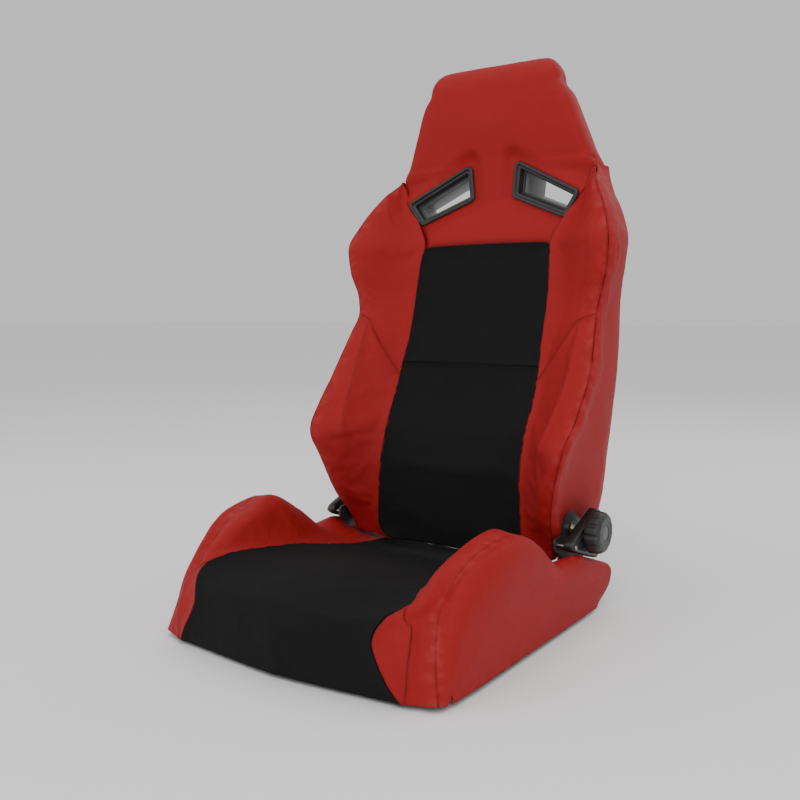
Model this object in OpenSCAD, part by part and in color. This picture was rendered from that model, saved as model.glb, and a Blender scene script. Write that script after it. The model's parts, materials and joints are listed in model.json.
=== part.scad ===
/* [Seat base] */
// Width across the cushion's side panels
seat_w = 524; // [440:1:630]
// Distance from the mounting centre to the cushion's nose
nose_y = 323; // [270:1:388]
// Height of the cushion's top just behind the nose
cushion_z = 127; // [118:1:150]
// Height of the crest of the cushion bolsters
crest_z = 201; // [170:1:240]
// Width of the cushion's centre panel
cushion_w = 330; // [276:1:380]
// Height of the lower edge of the upholstery over the mounting face
hem_z = 8; // [6:1:12]

/* [Backrest] */
// Height of the backrest above the recliner axis
back_h = 827; // [690:1:992]
// Width of the backrest at the shoulders
back_w = 534; // [480:1:640]
// Width of the neck, under the headrest
neck_w = 404; // [390:1:470]
// Width of the top of the headrest
head_w = 246; // [200:1:290]
// Width of the centre insert
insert_w = 282; // [236:1:310]
// Thickness of a sewn panel with its foam backing
panel_t = 14; // [8:1:16]
// Thickness of the moulded foam behind the panels
foam_t = 28; // [20:1:32]
// Thickness of the rear panel
rear_t = 8; // [5:1:10]

/* [Recliner] */
// Distance of the recliner axis behind the mounting centre
pivot_y = 182; // [170:1:215]
// Height of the recliner axis over the mounting face
pivot_z = 145; // [140:1:172]
// Radius of the recliner's round housing
disc_r = 36; // [32:1:37]
// Thickness of each half of the recliner's housing
disc_t = 8; // [7:1:9]
// Thickness of the recliner's steel plates
plate_t = 4; // [3:0.5:4.5]
// Radius of the cross shaft
shaft_r = 8; // [6:0.5:9]
// Radial clearance of the parts that turn on the shaft
run_gap = 0.1; // [0.05:0.05:0.2]
// Radius of the knob
knob_r = 36; // [30:1:42]
// Length of the knob along the shaft
knob_l = 28; // [22:1:34]
// Number of grip flutes round the knob
knob_flutes = 12; // [6:1:18]
// Teeth of the fixed gear, one fewer than those of the ring gear
gear_teeth = 33; // [25:1:39]

/* [Frame] */
// Distance between the mounting holes, front to back
mount_dy = 290; // [240:1:350]
// Radius of the mounting holes
mount_r = 4; // [4:0.5:5]
// Width of a mounting rail
rail_w = 36; // [30:1:40]
// Thickness of the rails' and side members' sheet
sheet_t = 3; // [2:0.5:4]
// Radius of the frame tubes
tube_r = 8; // [7:0.5:10]
// Room between the widest part of the backrest and the axis of each upright
frame_side = 73; // [70:1:80]
// Number of zigzag springs in the cushion
cushion_springs = 4; // [3:1:5]
// Number of zigzag springs in the backrest
back_springs = 4; // [3:1:5]
// Width of the spring wire
wire_w = 3.5; // [3:0.5:4.5]

/* [Harness slots] */
// Distance of each slot's centre from the middle
slot_x = 106; // [103:1:116]
// Width of the slot bezels' flange
flange_w = 13; // [10:1:14]
// Wall of the slot sleeves
sleeve_t = 2.5; // [2:0.5:3]
// Turn of each slot towards the middle, in degrees
slot_turn = 7; // [0:1:9]

/* [Hidden] */
$fn = 48;

// Places across the seat, from the side panels inwards
side_x = seat_w / 2;
cover_out = side_x - 4;
cover_in = side_x - 22;
plate_out = side_x - 36;
gear_out = plate_out - plate_t;
ring_out = gear_out - disc_t;
arm_out = ring_out - disc_t;
tube_x = arm_out - plate_t - tube_r;
// Half the distance between the uprights above the recliners, inside the side panels
frame_x = back_w / 2 - frame_side;
member_out = gear_out;
rail_x = member_out - rail_w / 2 - sheet_t - 1;
low_x = cover_in - 4;
housing_r = disc_r + 8;

// Places along the seat
rear_y = pivot_y + 88;
member_front = -nose_y + 85;
front_tube_y = -nose_y + 110;
rear_tube_y = pivot_y - 12;
rail_l = mount_dy + 90;
spring_z = 42;
deck_z = 80;

// A height in the backrest, from 0 at the recliner axis to 1 at the top
function up(t) = pivot_z + t * back_h;
// A distance behind the recliner axis
function aft(d) = pivot_y + d;

seam_z = up(0.325);
insert_top = up(0.591);
diagonal_z = up(0.437);
neck_z = up(0.752);
slot_z = up(0.706);
pad_t = panel_t + foam_t;

// Front face of the centre of the backrest: height, depth
face_marks = [[pivot_z - 62, aft(-30)], [pivot_z - 20, aft(-36)], [up(0.083), aft(-36)],
    [up(0.174), aft(-19)], [up(0.252), aft(13)], [up(0.325), aft(36)], [up(0.395), aft(58)],
    [up(0.467), aft(75)], [up(0.551), aft(88)], [up(0.62), aft(104)], [up(0.699), aft(124)],
    [up(0.784), aft(118)], [up(0.87), aft(108)], [up(0.95), aft(108)], [up(1), aft(128)]];
// Front edge of the bolsters and shoulders: height, depth
ridge_marks = [[pivot_z - 17, aft(-44)], [up(0.039), aft(-78)], [up(0.121), aft(-100)],
    [up(0.168), aft(-109)], [up(0.23), aft(-75)], [up(0.299), aft(-29)], [up(0.387), aft(14)],
    [up(0.437), aft(36)], [up(0.48), aft(40)], [up(0.539), aft(32)], [up(0.586), aft(29)],
    [up(0.647), aft(51)], [up(0.712), aft(85)], [up(0.752), aft(116)]];
// Rear face of the backrest: height, depth
rear_marks = [[pivot_z + 25, aft(121)], [up(0.122), aft(124)], [up(0.207), aft(138)],
    [up(0.293), aft(155)], [up(0.38), aft(172)], [up(0.47), aft(180)], [up(0.549), aft(184)],
    [up(0.643), aft(190)], [up(0.744), aft(198)], [up(0.852), aft(200)], [up(0.937), aft(190)],
    [up(0.98), aft(170)], [up(1), aft(142)]];
// Half the width of the backrest: height, half width
back_x = back_w / 2;
neck_x = neck_w / 2;
head_x = head_w / 2;
half_marks = [[pivot_z - 17, low_x - 25], [up(0.039), low_x - 15], [up(0.121), low_x + 3],
    [up(0.168), back_x - 14], [up(0.23), back_x - 6], [up(0.299), back_x - 6],
    [up(0.387), back_x - 15], [up(0.437), back_x - 21], [up(0.48), back_x - 16],
    [up(0.539), back_x - 3], [up(0.586), back_x], [up(0.647), back_x - 16],
    [up(0.712), (back_x + neck_x) / 2 - 14], [up(0.752), neck_x], [up(0.784), neck_x - 12],
    [up(0.848), (neck_x + head_x) / 2 + 4], [up(0.913), head_x + 21], [up(0.963), head_x],
    [up(0.983), head_x - 18], [up(0.996), head_x - 53], [up(1), 0]];
// Top of the cushion's centre, from the nose to the rear: distance, height
top_marks = [[-nose_y + 14, cushion_z - 24], [-nose_y + 36, cushion_z - 5],
    [-nose_y + 75, cushion_z + 1], [-nose_y + 160, cushion_z - 1], [-nose_y + 260, cushion_z - 14],
    [-nose_y + 323, cushion_z - 27], [52, cushion_z - 42], [100, cushion_z - 49],
    [150, cushion_z - 55], [pivot_y + 8, cushion_z - 62], [pivot_y + 50, cushion_z - 78]];
// Crest of the cushion's bolsters: distance, height
crest_marks = [[-nose_y + 37, hem_z + 100], [-nose_y + 45, crest_z - 69],
    [-nose_y + 82, crest_z - 32], [-nose_y + 153, crest_z - 6], [-nose_y + 206, crest_z],
    [-nose_y + 256, crest_z], [-nose_y + 312, crest_z - 31], [30, crest_z - 64],
    [72, crest_z - 90]];

// A smooth curve through a list of points, with n steps between neighbours
function smooth(p, n = 3) = concat(
    [for (i = [0:len(p) - 2]) for (k = [0:n - 1])
        let (a = p[max(i - 1, 0)], b = p[i], c = p[i + 1], d = p[min(i + 2, len(p) - 1)], t = k / n)
        0.5 * (2 * b + (c - a) * t + (2 * a - 5 * b + 4 * c - d) * t * t
            + (3 * b - a - 3 * c + d) * t * t * t)],
    [p[len(p) - 1]]);
function reverse(p) = [for (i = [len(p) - 1:-1:0]) p[i]];
function flip(p) = [for (q = p) [q[1], q[0]]];

face_curve = smooth(face_marks);
ridge_curve = smooth(ridge_marks);
rear_curve = smooth(rear_marks);
half_curve = smooth(half_marks);
top_curve = smooth(top_marks);
crest_curve = smooth(crest_marks);
function face(z) = lookup(z, face_curve);
function ridge(z) = lookup(z, ridge_curve);
function rear(z) = lookup(z, rear_curve);
function half(z) = lookup(z, half_curve);
function top(y) = lookup(y, top_curve);
function crest(y) = lookup(y, crest_curve);
// Heights from a to b in steps of about s
function steps(a, b, s = 26) = let (n = max(1, round((b - a) / s))) [for (i = [0:n]) a + (b - a) * i / n];

// Outline moved inwards by d, for a convex outline listed anticlockwise
function inset(p, d) = [for (i = [0:len(p) - 1])
    let (a = p[(i + len(p) - 1) % len(p)], b = p[i], c = p[(i + 1) % len(p)],
        u = (b - a) / norm(b - a), v = (c - b) / norm(c - b),
        m = [-u[1], u[0]], k = [-v[1], v[0]])
    b + (m + k) * d / (1 + m * k)];
// Outline with its corners rounded to radius r, in n steps each
function rounded(p, r, n = 6) = [for (i = [0:len(p) - 1])
    let (a = p[(i + len(p) - 1) % len(p)], b = p[i], c = p[(i + 1) % len(p)],
        u = (a - b) / norm(a - b), v = (c - b) / norm(c - b),
        half_angle = acos(u * v) / 2, middle = b + (u + v) / norm(u + v) * r / sin(half_angle),
        p0 = b + u * r / tan(half_angle), p1 = b + v * r / tan(half_angle),
        a0 = atan2(p0[1] - middle[1], p0[0] - middle[0]),
        turn = atan2(p1[1] - middle[1], p1[0] - middle[0]) - a0,
        sweep = turn > 180 ? turn - 360 : turn < -180 ? turn + 360 : turn)
    for (k = [0:n]) middle + r * [cos(a0 + sweep * k / n), sin(a0 + sweep * k / n)]];

// Solid between a list of rings with equal counts of points
module loft(rings) {
    m = len(rings[0]);
    n = len(rings);
    sides = [for (j = [0:n - 2]) for (i = [0:m - 1]) let (k = (i + 1) % m)
        for (f = [[j * m + i, j * m + k, (j + 1) * m + k], [j * m + i, (j + 1) * m + k, (j + 1) * m + i]]) f];
    polyhedron(points = [for (r = rings) for (q = r) q],
        faces = concat(sides, [[for (i = [m - 1:-1:0]) i]], [[for (i = [0:m - 1]) (n - 1) * m + i]]));
}
// A profile given as [y, z], extruded across the seat from x0 to x1
module across(x0, x1) {
    translate([x0, 0, 0]) rotate([90, 0, 90]) linear_extrude(x1 - x0) children();
}
// An outline given as [x, z], extruded backwards from y0 to y1
module backwards(y0, y1) {
    translate([0, y1, 0]) rotate([90, 0, 0]) linear_extrude(y1 - y0) children();
}
// A round bar across the seat from x0 to x1, on the line y, z
module bar(x0, x1, y, z, r) {
    translate([x0, y, z]) rotate([0, 90, 0]) cylinder(h = x1 - x0, r = r);
}
// A piece drawn on the +X side, kept there or mirrored
module on_side(side) {
    if (side == "left") mirror([1, 0, 0]) children();
    else children();
}

// ---- Seat frame ----
module mounting_rail(side) color("dimgray") on_side(side)
    difference() {
        translate([rail_x - rail_w / 2, -rail_l / 2, 0]) cube([rail_w, rail_l, sheet_t]);
        for (y = [-1, 1]) translate([rail_x, y * mount_dy / 2, -1]) cylinder(h = sheet_t + 2, r = mount_r);
    }
nut_h = 7;
module weld_nuts() color("silver")
    for (x = [-1, 1], y = [-1, 1]) translate([x * rail_x, y * mount_dy / 2, sheet_t])
        difference() {
            cylinder(h = nut_h, r = 8, $fn = 6);
            translate([0, 0, -1]) cylinder(h = nut_h + 2, r = mount_r);
        }
member_z = 78;
module side_member(side) color("dimgray") on_side(side) {
    foot_in = member_out - sheet_t - rail_w;
    difference() {
        across(member_out - sheet_t, member_out)
            polygon(rounded([[member_front, sheet_t], [pivot_y + 40, sheet_t], [pivot_y + 40, 72],
                [pivot_y - 42, member_z], [member_front, member_z]], 8));
        for (y = [-1, 0, 1]) translate([member_out + 1, y * 95 - 20, 36]) rotate([0, -90, 0])
            cylinder(h = sheet_t + 2, r = 17);
        for (d = bolt_spots) bar(member_out - sheet_t - 1, member_out + 1, aft(d[0]), pivot_z + d[1], bolt_r + 0.3);
        bar(member_out - sheet_t - 1, member_out + 1, front_tube_y, spring_z, tube_r);
        bar(member_out - sheet_t - 1, member_out + 1, rear_tube_y, spring_z, tube_r);
    }
    for (y = [member_front + 16, pivot_y - 20]) translate([foot_in, y, sheet_t]) cube([rail_w, 24, sheet_t]);
}
module front_cross_tube() color("dimgray")
    bar(-member_out, member_out, front_tube_y, spring_z, tube_r);
module rear_cross_tube() color("dimgray")
    bar(-member_out, member_out, rear_tube_y, spring_z, tube_r);

// A zigzag wire from [0, 0] to [0, l], w wide, swinging a to each side, with n waves
function zigzag(l, a, n, w) = let (steps_n = n * 12)
    [for (side = [1, -1]) for (i = [0:steps_n])
        let (t = (side > 0 ? i : steps_n - i) / steps_n, x = a * sin(360 * n * t), slope = a * 2 * PI * n * cos(360 * n * t) / l,
            s = sqrt(1 + slope * slope))
        [x, l * t] + side * w / 2 * [-1 / s, slope / s]];
// Room between a spring's end and its tube
hook_gap = 0.7;
module cushion_springs_set() color("silver") {
    y0 = front_tube_y + tube_r + hook_gap;
    l = rear_tube_y - tube_r - hook_gap - y0;
    pitch = (2 * member_out - 120) / (cushion_springs - 1);
    for (i = [0:cushion_springs - 1]) translate([-member_out + 60 + i * pitch, y0, spring_z - wire_w / 2])
        linear_extrude(wire_w) polygon(zigzag(l, 22, 6, wire_w));
}

// ---- Cushion ----
seat_half = cushion_w / 2;
foam_bottom = spring_z + wire_w / 2 + 1;
foam_rear = pivot_y - 24;
foam_steps = steps(-nose_y + 40, foam_rear, 30);
module cushion_foam() color("khaki")
    across(-seat_half, seat_half)
        polygon(concat([for (y = foam_steps) [y, top(y) - panel_t]],
            [[foam_rear, foam_bottom], [front_tube_y + tube_r + 1, foam_bottom],
             [front_tube_y + tube_r + 1, hem_z + 70], [-nose_y + 40, hem_z + 70]]));
// The centre panel turns down over the nose and hangs to the hem
nose_curve = smooth([[-nose_y + 33, hem_z], [-nose_y + 12, hem_z + 24], [-nose_y, hem_z + 56],
    [-nose_y + 4, hem_z + 80], [-nose_y + 14, cushion_z - 24]]);
module cushion_centre() color("dimgray")
    across(-seat_half, seat_half)
        polygon(concat(nose_curve, [for (y = steps(-nose_y + 20, pivot_y + 40, 26)) [y, top(y)]],
            [for (y = reverse(steps(foam_rear, pivot_y + 40, 30))) [y, top(y) - panel_t]],
            [for (i = [len(foam_steps) - 2:-1:0]) [foam_steps[i], top(foam_steps[i]) - panel_t]],
            [[-nose_y + 36, hem_z + 70], [-nose_y + 32, hem_z + 40], [-nose_y + 33 + panel_t, hem_z]]));
block_z = 92;
// Each bolster rises from the centre panel to its crest, and falls to the side panel
module cushion_bolster(side) color("firebrick") on_side(side)
    loft([for (y = steps(-nose_y + 37, 72, 24)) let (c = crest(y), t = min(top(y), c - 6))
        [[seat_half, y, deck_z], [side_x - 24, y, deck_z], [side_x - 24, y, block_z], [side_x, y, block_z],
         [side_x - 1, y, max(block_z + 6, c - 22)], [side_x - 12, y, max(block_z + 8, c - 2)],
         [side_x - 30, y, max(block_z + 8, c - 4)], [seat_half, y, max(deck_z + 2, t)]]]);
// The bolster's front hangs beside the nose down to the hem
module cushion_front(side) color("firebrick") on_side(side)
    across(seat_half, side_x - 20)
        polygon([[-nose_y + 37, hem_z], [-nose_y + 37 + panel_t, hem_z], [-nose_y + 37 + panel_t, deck_z - 0.5],
            [-nose_y + 30, deck_z - 0.5], [-nose_y + 26, hem_z + 40]]);
module cushion_side(side) color("firebrick") on_side(side)
    across(side_x - 20, side_x)
        polygon([[-nose_y + 37, hem_z], [pivot_y + 30, hem_z], [rear_y, hem_z + 32], [rear_y - 6, hem_z + 60],
            [pivot_y - 58, block_z + 16], [86, block_z + 18], [76, block_z], [-nose_y + 37, block_z]]);

// ---- Recliner ----
bolt_r = 5;
bolt_spots = [[-34, -84], [26, -84]];
rivet_angles = [30, 150, 270];
rivet_d = disc_r - 5.5;
module plate_bolt(x, y, z, l) {
    bar(x, x + 6, y, z, 8.5);
    bar(x - l, x, y, z, bolt_r);
}
module recliner_lower_plate(side) color("slategray") on_side(side)
    difference() {
        union() {
            bar(gear_out, plate_out, pivot_y, pivot_z, disc_r);
            across(gear_out, plate_out)
                polygon(rounded([[aft(-52), 40], [aft(44), 40], [aft(50), pivot_z - 50], [aft(26), pivot_z - 14],
                    [aft(-30), pivot_z - 4], [aft(-66), pivot_z - 6], [aft(-66), pivot_z - 26],
                    [aft(-48), pivot_z - 34]], 7));
        }
        bar(gear_out - 1, plate_out + 1, pivot_y, pivot_z, shaft_r + 1.5);
        for (d = screw_spots) bar(gear_out - 1, plate_out + 1, aft(d[0]), pivot_z + d[1], 2.2);
        for (d = bolt_spots) bar(gear_out - 1, plate_out + 1, aft(d[0]), pivot_z + d[1], bolt_r + 0.3);
    }
gear_r = disc_r - 12;
cam_r = shaft_r + 6;
function tooth_ring(n, r, h) = [for (i = [0:n - 1]) for (k = [[0, r], [0.25, r], [0.5, r + h], [0.75, r + h]])
    let (a = 360 * (i + k[0]) / n) k[1] * [cos(a), sin(a)]];
module recliner_fixed_gear(side) color("silver") on_side(side)
    difference() {
        union() {
            bar(ring_out + 0.3, gear_out, pivot_y, pivot_z, disc_r - 1);
            translate([ring_out - 4, pivot_y, pivot_z]) rotate([90, 0, 90])
                linear_extrude(4.5) polygon(tooth_ring(gear_teeth, gear_r - 2, 1.6));
        }
        bar(ring_out - 5, gear_out + 1, pivot_y, pivot_z, cam_r + run_gap);
    }
module recliner_ring_gear(side) color("silver") on_side(side)
    difference() {
        bar(arm_out, ring_out, pivot_y, pivot_z, disc_r);
        translate([ring_out - 4.5, pivot_y, pivot_z]) rotate([90, 0, 90])
            linear_extrude(6) polygon(tooth_ring(gear_teeth + 1, gear_r, 1.6));
        bar(arm_out - 1, ring_out + 1, pivot_y, pivot_z, shaft_r + run_gap);
        at_rivets() bar(arm_out - 1, arm_out + 3, 0, 0, 3);
    }
// Places of the rivets that hold the ring gear to the upper plate
module at_rivets()
    for (a = rivet_angles) translate([0, pivot_y + rivet_d * cos(a), pivot_z + rivet_d * sin(a)]) children();
module drive_cam(side) color("goldenrod") on_side(side)
    difference() {
        bar(ring_out - 3.9, gear_out - 0.5, pivot_y, pivot_z, cam_r);
        bar(ring_out - 5, gear_out, pivot_y, pivot_z, shaft_r);
    }
arm_outline = [[aft(-22), pivot_z + 20], [aft(28), pivot_z + 10], [aft(56), pivot_z + 112],
    [aft(20), pivot_z + 118]];
module recliner_upper_plate(side) color("slategray") on_side(side)
    difference() {
        union() {
            bar(arm_out - plate_t, arm_out, pivot_y, pivot_z, disc_r - 1);
            across(arm_out - plate_t, arm_out) polygon(rounded(arm_outline, 8));
        }
        bar(arm_out - plate_t - 1, arm_out + 1, pivot_y, pivot_z, shaft_r + run_gap);
        at_rivets() bar(arm_out - plate_t - 1, arm_out + 1, 0, 0, 3);
    }
module recliner_lower_bolts() color("silver")
    for (side = ["left", "right"]) on_side(side)
        for (d = bolt_spots) plate_bolt(plate_out, aft(d[0]), pivot_z + d[1], plate_t + sheet_t + 8);
module recliner_rivets() color("silver")
    for (side = ["left", "right"]) on_side(side) at_rivets() {
        bar(arm_out - plate_t, arm_out + 3, 0, 0, 3);
        bar(arm_out - plate_t - 1.5, arm_out - plate_t, 0, 0, 4.5);
    }
// The cover fills the wedge between the backrest and the cushion's side panel
cover_outline = [[aft(-86), pivot_z - 15], [aft(46), pivot_z - 58], [aft(54), pivot_z + 36]];
cover_t = 2.5;
screw_spots = [[-57, -16], [41, -42]];
module recliner_cover(side) color("darkslategray") on_side(side)
    difference() {
        across(cover_in, cover_out) polygon(rounded(cover_outline, 12));
        across(cover_in - 1, cover_out - cover_t) polygon(rounded(inset(cover_outline, cover_t), 10));
        if (side == "right") bar(cover_in - 1, cover_out + 1, pivot_y, pivot_z, shaft_r + 3);
        for (d = screw_spots) bar(cover_in, cover_out + 1, aft(d[0]), pivot_z + d[1], 2.2);
    }
module cover_screws() color("black")
    for (side = ["left", "right"]) on_side(side)
        for (d = screw_spots) {
            bar(cover_out, cover_out + 1.5, aft(d[0]), pivot_z + d[1], 4);
            bar(gear_out - 1, cover_out, aft(d[0]), pivot_z + d[1], 2);
        }
knob_in = cover_out + 3;
knob_out = knob_in + knob_l;
module cross_shaft() color("silver")
    bar(-plate_out - 6, knob_out - 8, pivot_y, pivot_z, shaft_r);
module knob_profile(lift) polygon([[0, 0], [knob_r - 3, 0], [knob_r, 3], [knob_r - 2, knob_l - 7],
    [knob_r - 7, knob_l - 1], [knob_r - 12, knob_l - lift], [0, knob_l - lift]]);
module recliner_knob() color("black")
    difference() {
        translate([knob_in, pivot_y, pivot_z]) rotate([0, 90, 0]) rotate_extrude() knob_profile(2);
        for (i = [0:knob_flutes - 1]) translate([knob_in - 1, pivot_y, pivot_z]) rotate([360 * i / knob_flutes, 0, 0])
            translate([0, knob_r + 3.5, 0]) rotate([0, 90, 0]) cylinder(h = knob_l - 6, r = 5);
        bar(knob_in - 1, knob_out - 8, pivot_y, pivot_z, shaft_r);
        bar(knob_out - 8.01, knob_out + 1, pivot_y, pivot_z, 12);
    }
module knob_cap() color("dimgray")
    bar(knob_out - 8, knob_out - 3, pivot_y, pivot_z, 11.9);
module shaft_circlips() color("silver")
    for (side = ["left", "right"]) on_side(side)
        difference() {
            bar(plate_out + 1.5, plate_out + 3, pivot_y, pivot_z, shaft_r + 5);
            bar(plate_out, plate_out + 4, pivot_y, pivot_z, shaft_r);
        }

// ---- Backrest frame ----
// Room between the foam and the springs behind it
spring_gap = 8;
function tube_y(t) = min(face(up(t)) + pad_t + spring_gap + wire_w + tube_r, rear(up(t)) - rear_t - tube_r - 1);
tube_marks = [[0.174, frame_x], [0.325, frame_x], [0.467, frame_x], [0.6, frame_x], [0.7, frame_x],
    [0.8, (neck_x + head_x) / 2 - 8], [0.935, head_x - 22]];
tube_path = concat([[tube_x, aft(22), up(0.055)]], [for (m = tube_marks) [m[1], tube_y(m[0]), up(m[0])]]);
tube_line = [for (p = tube_path) [p[2], p[1]]];
module rod(a, b, r) {
    d = b - a;
    translate(a) rotate([0, acos(d[2] / norm(d)), atan2(d[1], d[0])]) cylinder(h = norm(d), r = r);
}
module upright_tube(side) color("dimgray") on_side(side)
    for (i = [0:len(tube_path) - 2]) {
        rod(tube_path[i], tube_path[i + 1], tube_r);
        translate(tube_path[i + 1]) sphere(r = tube_r + 0.4);
    }
// A bar between the uprights, at the i-th corner of their path
module crossbar(i, r) {
    p = tube_path[i];
    bar(-p[0] + tube_r + 0.4, p[0] - tube_r - 0.4, p[1], p[2], r);
}
module lower_crossbar() color("dimgray") crossbar(1, tube_r - 1);
module shoulder_crossbar() color("dimgray") crossbar(4, tube_r - 1);
module head_crossbar() color("dimgray") crossbar(7, tube_r - 1);
module back_springs_set() color("silver") {
    l = 2 * frame_x;
    z0 = up(0.23);
    dz = (up(0.52) - z0) / (back_springs - 1);
    for (i = [0:back_springs - 1])
        let (z = z0 + i * dz, lean = atan2(lookup(z + 20, tube_line) - lookup(z - 20, tube_line), 40))
        translate([l / 2, lookup(z, tube_line), z]) rotate([-lean, 0, 0]) rotate([90, 0, 0]) rotate([0, 0, 90])
            translate([0, 0, tube_r]) linear_extrude(wire_w) polygon(zigzag(l, 20, 7, wire_w));
}

// ---- Harness slots ----
slot_outline = [[-67, -6], [48, -52], [79, -6], [-60, 64]];
slot_front = face(slot_z) - 6;
slot_back = rear(slot_z) + 5;
slot_mid = (slot_front + slot_back) / 2;
// Drawn about the slot's centre and turned into place
module at_slot() translate([slot_x, 0, slot_z]) translate([0, slot_front, 0]) rotate([0, 0, -slot_turn])
    translate([0, -slot_front, 0]) children();
module slot_ring(y0, y1, d_out, d_in, r_out, r_in)
    difference() {
        backwards(y0, y1) polygon(rounded(inset(slot_outline, d_out), r_out));
        backwards(y0 - 1, y1 + 1) polygon(rounded(inset(slot_outline, d_in), r_in));
    }
sleeve_d = flange_w - sleeve_t;
module slot_hole(side) on_side(side) at_slot()
    backwards(slot_front - 90, slot_back + 60) polygon(rounded(inset(slot_outline, sleeve_d - 0.3), 9));
// Seats in the panels for the bezels' flanges
module front_seat(side) on_side(side) at_slot()
    backwards(slot_front - 60, slot_front + 1.3) polygon(rounded(inset(slot_outline, -0.5), 14));
module rear_seat(side) on_side(side) at_slot()
    backwards(slot_back + 1.7, slot_back + 60) polygon(rounded(inset(slot_outline, 1.5), 12));
module slot_bezel(side) color("black") on_side(side) at_slot() {
    slot_ring(slot_front - 4, slot_front + 1, 0, flange_w, 14, 8);
    slot_ring(slot_front, slot_mid, sleeve_d, flange_w, 9, 8);
}
module slot_rear_bezel(side) color("gray") on_side(side) at_slot() {
    slot_ring(slot_back + 2, slot_back + 6, 2, flange_w + sleeve_t + 0.3, 12, 6);
    slot_ring(slot_mid - 10, slot_back + 3, flange_w + 0.3, flange_w + sleeve_t + 0.3, 8, 6);
}

// ---- Backrest upholstery ----
function outline(z0, z1, d = 0) = let (zs = steps(z0, z1, 14))
    concat([for (z = zs) [half(z) - d, z]], [for (z = reverse(zs)) [-half(z) + d, z]]);
// A slice of the backrest through a list of heights, between two depths behind its front face
module slice(zs, x0, x1, t0, t1)
    across(x0, x1) polygon(concat([for (z = zs) [face(z) + t0, z]], [for (z = reverse(zs)) [face(z) + t1, z]]));
low_steps = steps(pivot_z - 60, seam_z);
high_steps = steps(seam_z, insert_top);
insert_x = insert_w / 2;
module shaft_room() bar(-arm_out, arm_out, pivot_y, pivot_z, shaft_r + 4);
module back_foam() color("khaki")
    difference() {
        slice(concat(low_steps, [for (i = [1:len(high_steps) - 1]) high_steps[i]]), -insert_x, insert_x,
            panel_t, pad_t);
        shaft_room();
    }
module insert_lower() color("dimgray")
    slice(low_steps, -insert_x, insert_x, 0, panel_t);
module insert_upper() color("dimgray")
    slice(high_steps, -insert_x, insert_x, 0, panel_t);
gusset_t = 12;
// Room between two sewn covers' edges
seam_gap = 0.6;
crown = up(0.997);
head_top = crown - gusset_t - seam_gap;
// Half the width of the headrest's front panel, from the insert's corner to the neck and up
function head_edge(z) = z < neck_z ? insert_x + (neck_x - gusset_t - insert_x) * (z - insert_top) / (neck_z - insert_top)
    : half(z) - gusset_t - seam_gap;
function head_shape() = let (zs = steps(insert_top, head_top, 22))
    concat([for (z = zs) [head_edge(z), z]], [for (z = reverse(zs)) [-head_edge(z), z]]);
module head_slab(t0, t1)
    difference() {
        intersection() {
            across(-neck_x, neck_x) polygon(concat([for (z = steps(insert_top, head_top)) [face(z) + t0, z]],
                [for (z = reverse(steps(insert_top, head_top))) [min(face(z) + t1, rear(z) - rear_t - 1), z]]));
            backwards(0, rear(slot_z) + 60) polygon(head_shape());
        }
        slot_hole("left");
        slot_hole("right");
    }
module head_panel() color("firebrick")
    difference() {
        head_slab(0, panel_t);
        front_seat("left");
        front_seat("right");
    }
module head_foam() color("khaki") head_slab(panel_t, pad_t);
// The gusset closes the headrest's edge between its front and rear panels
module head_gusset() color("firebrick")
    difference() {
        intersection() {
            across(-back_x, back_x) polygon(concat([for (z = steps(neck_z + 4, crown)) [face(z) + 5, z]],
                [for (z = reverse(steps(neck_z + 4, crown))) [rear(z) - 2, z]]));
            backwards(0, rear(slot_z) + 60) polygon(outline(neck_z + 4, crown));
        }
        backwards(0, rear(slot_z) + 60) polygon(outline(neck_z - 20, crown - gusset_t, gusset_t));
    }
// Room for the recliner and its plates, which the upholstery swings round
module recliner_room() {
    bar(arm_out - plate_t - 4, side_x + 40, pivot_y, pivot_z, housing_r);
    across(arm_out - plate_t - 0.5, arm_out + 0.5) polygon(inset(arm_outline, -0.5));
    across(arm_out - plate_t - 4, side_x + 40)
        polygon([[-nose_y, 0], [-nose_y, pivot_z - 20], [aft(-92), pivot_z - 20], [pivot_y, pivot_z + 8],
            [aft(200), pivot_z + 8], [aft(200), 0]]);
}
// Depth of a bolster's inner back edge, which draws in behind the head
function wing_back(z) = face(z) + pad_t - (z < insert_top ? 0 : 10);
// Ring of a bolster at height z: it leans from the insert to the front edge, and turns back outside
function wing(z) = let (i = z < insert_top ? insert_x : head_edge(z) + seam_gap, f = face(z), r = min(ridge(z), f - 2),
        h = max(half(z), i + 12), w = min(h - i, 120), b = wing_back(z), e = max(b + 2, r + 46))
    [[i, f, z], [h - w * 0.28, r + 3, z], [h - w * 0.13, r, z], [h - w * 0.03, r + 10, z], [h, r + 28, z],
     [h, e, z], [i + (h - i) * 0.34, e, z], [i, b, z]];
module back_bolster(side) color("firebrick") on_side(side)
    difference() {
        loft([for (z = steps(pivot_z - 17, diagonal_z, 28)) wing(z)]);
        recliner_room();
        shaft_room();
    }
module shoulder(side) color("firebrick") on_side(side)
    difference() {
        loft([for (z = steps(diagonal_z, neck_z, 27)) wing(z)]);
        slot_hole("right");
    }
module back_side(side) color("firebrick") on_side(side)
    difference() {
        loft([for (z = steps(pivot_z - 5, neck_z, 30))
            let (s = max(wing_back(z) + 2, ridge(z) + 50) + 0.5, h = half(z),
                e = max(rear(max(z, pivot_z + 25)) - rear_t - 1, s + 20), i = min(plate_out + 3, h - 10))
            [[i, s, z], [h, s, z], [h - 4, e - 14, z], [h - 12, e, z], [i - 12, e - 1, z]]]);
        recliner_room();
    }
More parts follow.
